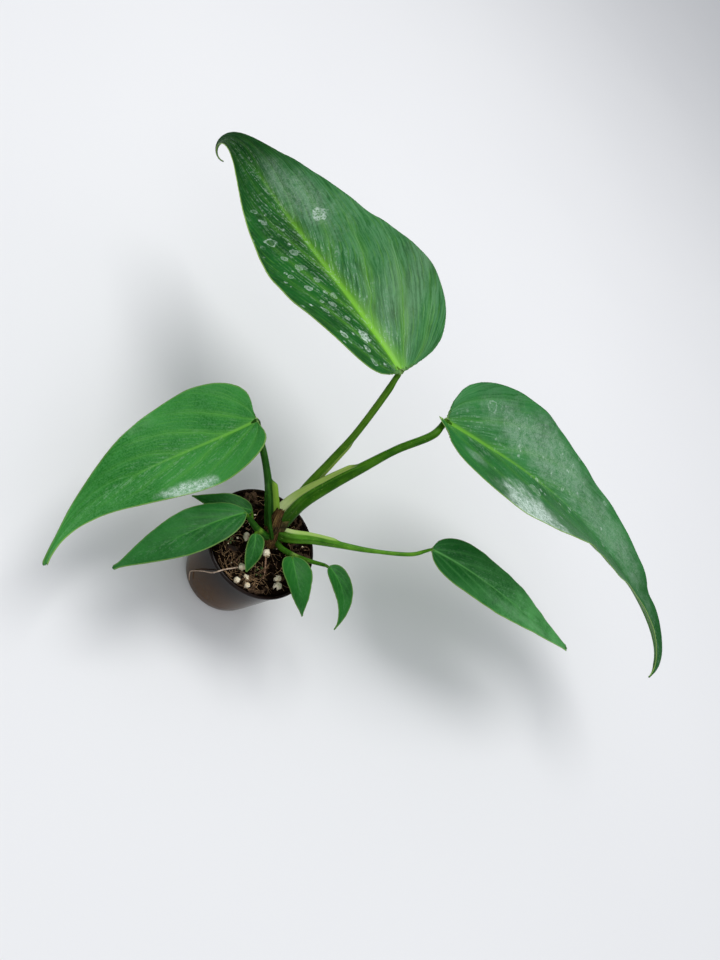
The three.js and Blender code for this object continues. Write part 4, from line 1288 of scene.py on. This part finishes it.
# %% Bark chips
deselect()
bpy.ops.mesh.primitive_cube_add(size=1, location=(0, 0, 0))
chip = bpy.context.object
bpy.ops.object.mode_set(mode="EDIT")
bpy.ops.mesh.subdivide(number_cuts=5)
bpy.ops.object.mode_set(mode="OBJECT")
places = corners(chip)
WEAR = ((3, 1), (5, 7), (4, 13))
wear = np.array([[noise.noise(Vector((p[0] * a, p[1] * 4, p[2] * 4 + b))) for a, b in WEAR]
                 for p in places])
set_corners(chip, places * (1 - 0.12 * np.abs(places[:, [1, 2, 0]])) + 0.16 * wear * np.array([1, 0.8, 0.9]))
bark = bark_brown("bark_brown", (0.010, 0.006, 0.004), (0.055, 0.028, 0.013), (0.13, 0.075, 0.038))
draw = seeded(27)
copies = []
for i in range(9):
    angle = 2 * math.pi * (i + 0.3 * next(draw)) / 9
    radius = 16 + 9 * next(draw)
    x, y = radius * math.cos(angle), radius * math.sin(angle)
    size = (7 * (0.7 + 0.5 * next(draw)), 3.0, 1.8)
    turn_by = turned_by([12 * next(draw), 14 * (next(draw) - 0.5), 360 * next(draw)])
    copies.append((0, (x, y, float(soil_height(x, y)) + 0.15), size, turn_by))
rng = np.random.default_rng(31)
for i in range(60):
    x, y = open_spot(rng, 6.5, 28.5)
    size = (rng.uniform(1.4, 4.2), rng.uniform(0.7, 1.8), rng.uniform(0.4, 0.9))
    turn_by = turned_by([rng.uniform(-25, 25), rng.uniform(-25, 25), rng.uniform(0, 360)])
    copies.append((0, (x, y, float(soil_height(x, y)) + 0.45), size, turn_by))
chips = scatter("bark_chips", [chip], copies, bark)
finish_piece(chips, ["soil"], angle=45)

# %% Roots and fibres


def root_material(name, dark, light, patch=420.0):
    material, tree, shader = new_tree(name)
    where = place(tree)
    blotch = cloud(tree, where, patch, 4.0, 0.65)
    join(tree, mix(tree, steps(tree, blotch, 0.32, 0.68), dark, light), shader.inputs["Base Color"])
    shader.inputs["Roughness"].default_value = 0.6
    shader.inputs["Specular IOR Level"].default_value = 0.15
    surface(tree, shader, blotch, 0.4, 0.0003)
    return material


def thread(places, radius, sides=8, rows=24):
    return tube("thread", places, sides, rows, lambda s, angle: radius * (1 - 0.35 * s) + 0 * angle)


draw = seeded(47)
threads = []
for i in range(5):
    start = 2 * math.pi * (i + 0.4 * next(draw)) / 5 + 0.5
    bend_by = 0.9 * (next(draw) - 0.5)
    route = []
    for t in (0, 0.33, 0.67, 1):
        radius, angle = 8 + 19 * t, start + bend_by * t
        x, y = radius * math.cos(angle), radius * math.sin(angle)
        route.append((x, y, float(soil_height(x, y)) + 0.25 - (1.4 if t == 1 else 0)))
    threads.append(thread(route, 0.6, 10, 30))
root_tan = root_material("root_tan", (0.16, 0.085, 0.05), (0.36, 0.22, 0.14))
roots = one_piece("surface_roots", threads)
roots.data.materials.append(root_tan)
finish_piece(roots, ["soil"], angle=60)

fibre_tan = root_material("fibre_tan", (0.020, 0.010, 0.005), (0.40, 0.25, 0.13), 130.0)
rng = np.random.default_rng(41)
fibres = []
for i in range(190):
    x, y = open_spot(rng, 6.5, 27.5)
    if i > 120:
        aside, out_by = math.radians(rng.uniform(-115, -45)), rng.uniform(19, 28.5)
        x, y = out_by * math.cos(aside), out_by * math.sin(aside)
    way, length, arch = rng.uniform(0, 2 * math.pi), rng.uniform(3, 15), rng.uniform(0.2, 1.8)
    curve = rng.uniform(-1.4, 1.4)
    route = []
    for t in (0, 0.35, 0.7, 1):
        angle = way + curve * t
        px, py = x + length * t * math.cos(angle), y + length * t * math.sin(angle)
        reach = math.hypot(px, py)
        if reach > 29.6:
            px, py = px * 29.6 / reach, py * 29.6 / reach
        route.append((px, py, float(soil_height(px, py)) + 0.25 + arch * math.sin(math.pi * t) + 0.05 * t))
    fibres.append(thread(route, rng.uniform(0.07, 0.2), 4, 8))
coir = one_piece("coir_fibres", fibres)
coir.data.materials.append(fibre_tan)
finish_piece(coir, ["soil"], angle=60)

# %% Root over the rim
rim_root = thread([(3, -22, 51.4), (0.5, -28, 52.3), (-0.8, -31.6, 53.0), (-1.6, -33.6, 52.0),
                   (-3.0, -32.6, 45),
                   (-6.6, -30.0, 34), (-10.0, -27.5, 22), (-11.2, -25.4, 13), (-8.0, -25.6, 7)], 0.42, 10, 80)
rim_root.data.materials.append(root_material("root_pale", (0.30, 0.21, 0.15), (0.55, 0.43, 0.33)))
rim_root = one_piece("rim_root", [rim_root])
finish_piece(rim_root, angle=60)

# %% Moss
paint, tree, shader = new_tree("moss_green")
where = place(tree)
tint = cloud(tree, where, 500.0, 3.0)
join(tree, mix(tree, steps(tree, tint, 0.35, 0.7), (0.020, 0.045, 0.010), (0.10, 0.16, 0.035)),
     shader.inputs["Base Color"])
shader.inputs["Roughness"].default_value = 0.9
surface(tree, shader, tint, 0.7, 0.0008)
rng = np.random.default_rng(53)
moss_model = lump_model("moss", 2, 0.9, 5, (1, 1, 0.7))
copies = []
for cx, cy, count in ((4.5, -19.5, 22), (12, -14, 12), (-12, -16, 9), (18, 10, 12), (-8, 22, 10)):
    for _ in range(count):
        x, y = cx + rng.normal(0, 1.8), cy + rng.normal(0, 1.8)
        size = rng.uniform(0.35, 0.9)
        copies.append((0, (x, y, float(soil_height(x, y)) + 0.3), (size, size, size), random_turn(rng)))
moss = scatter("moss_tufts", [moss_model], copies, paint)
finish_piece(moss, angle=60)
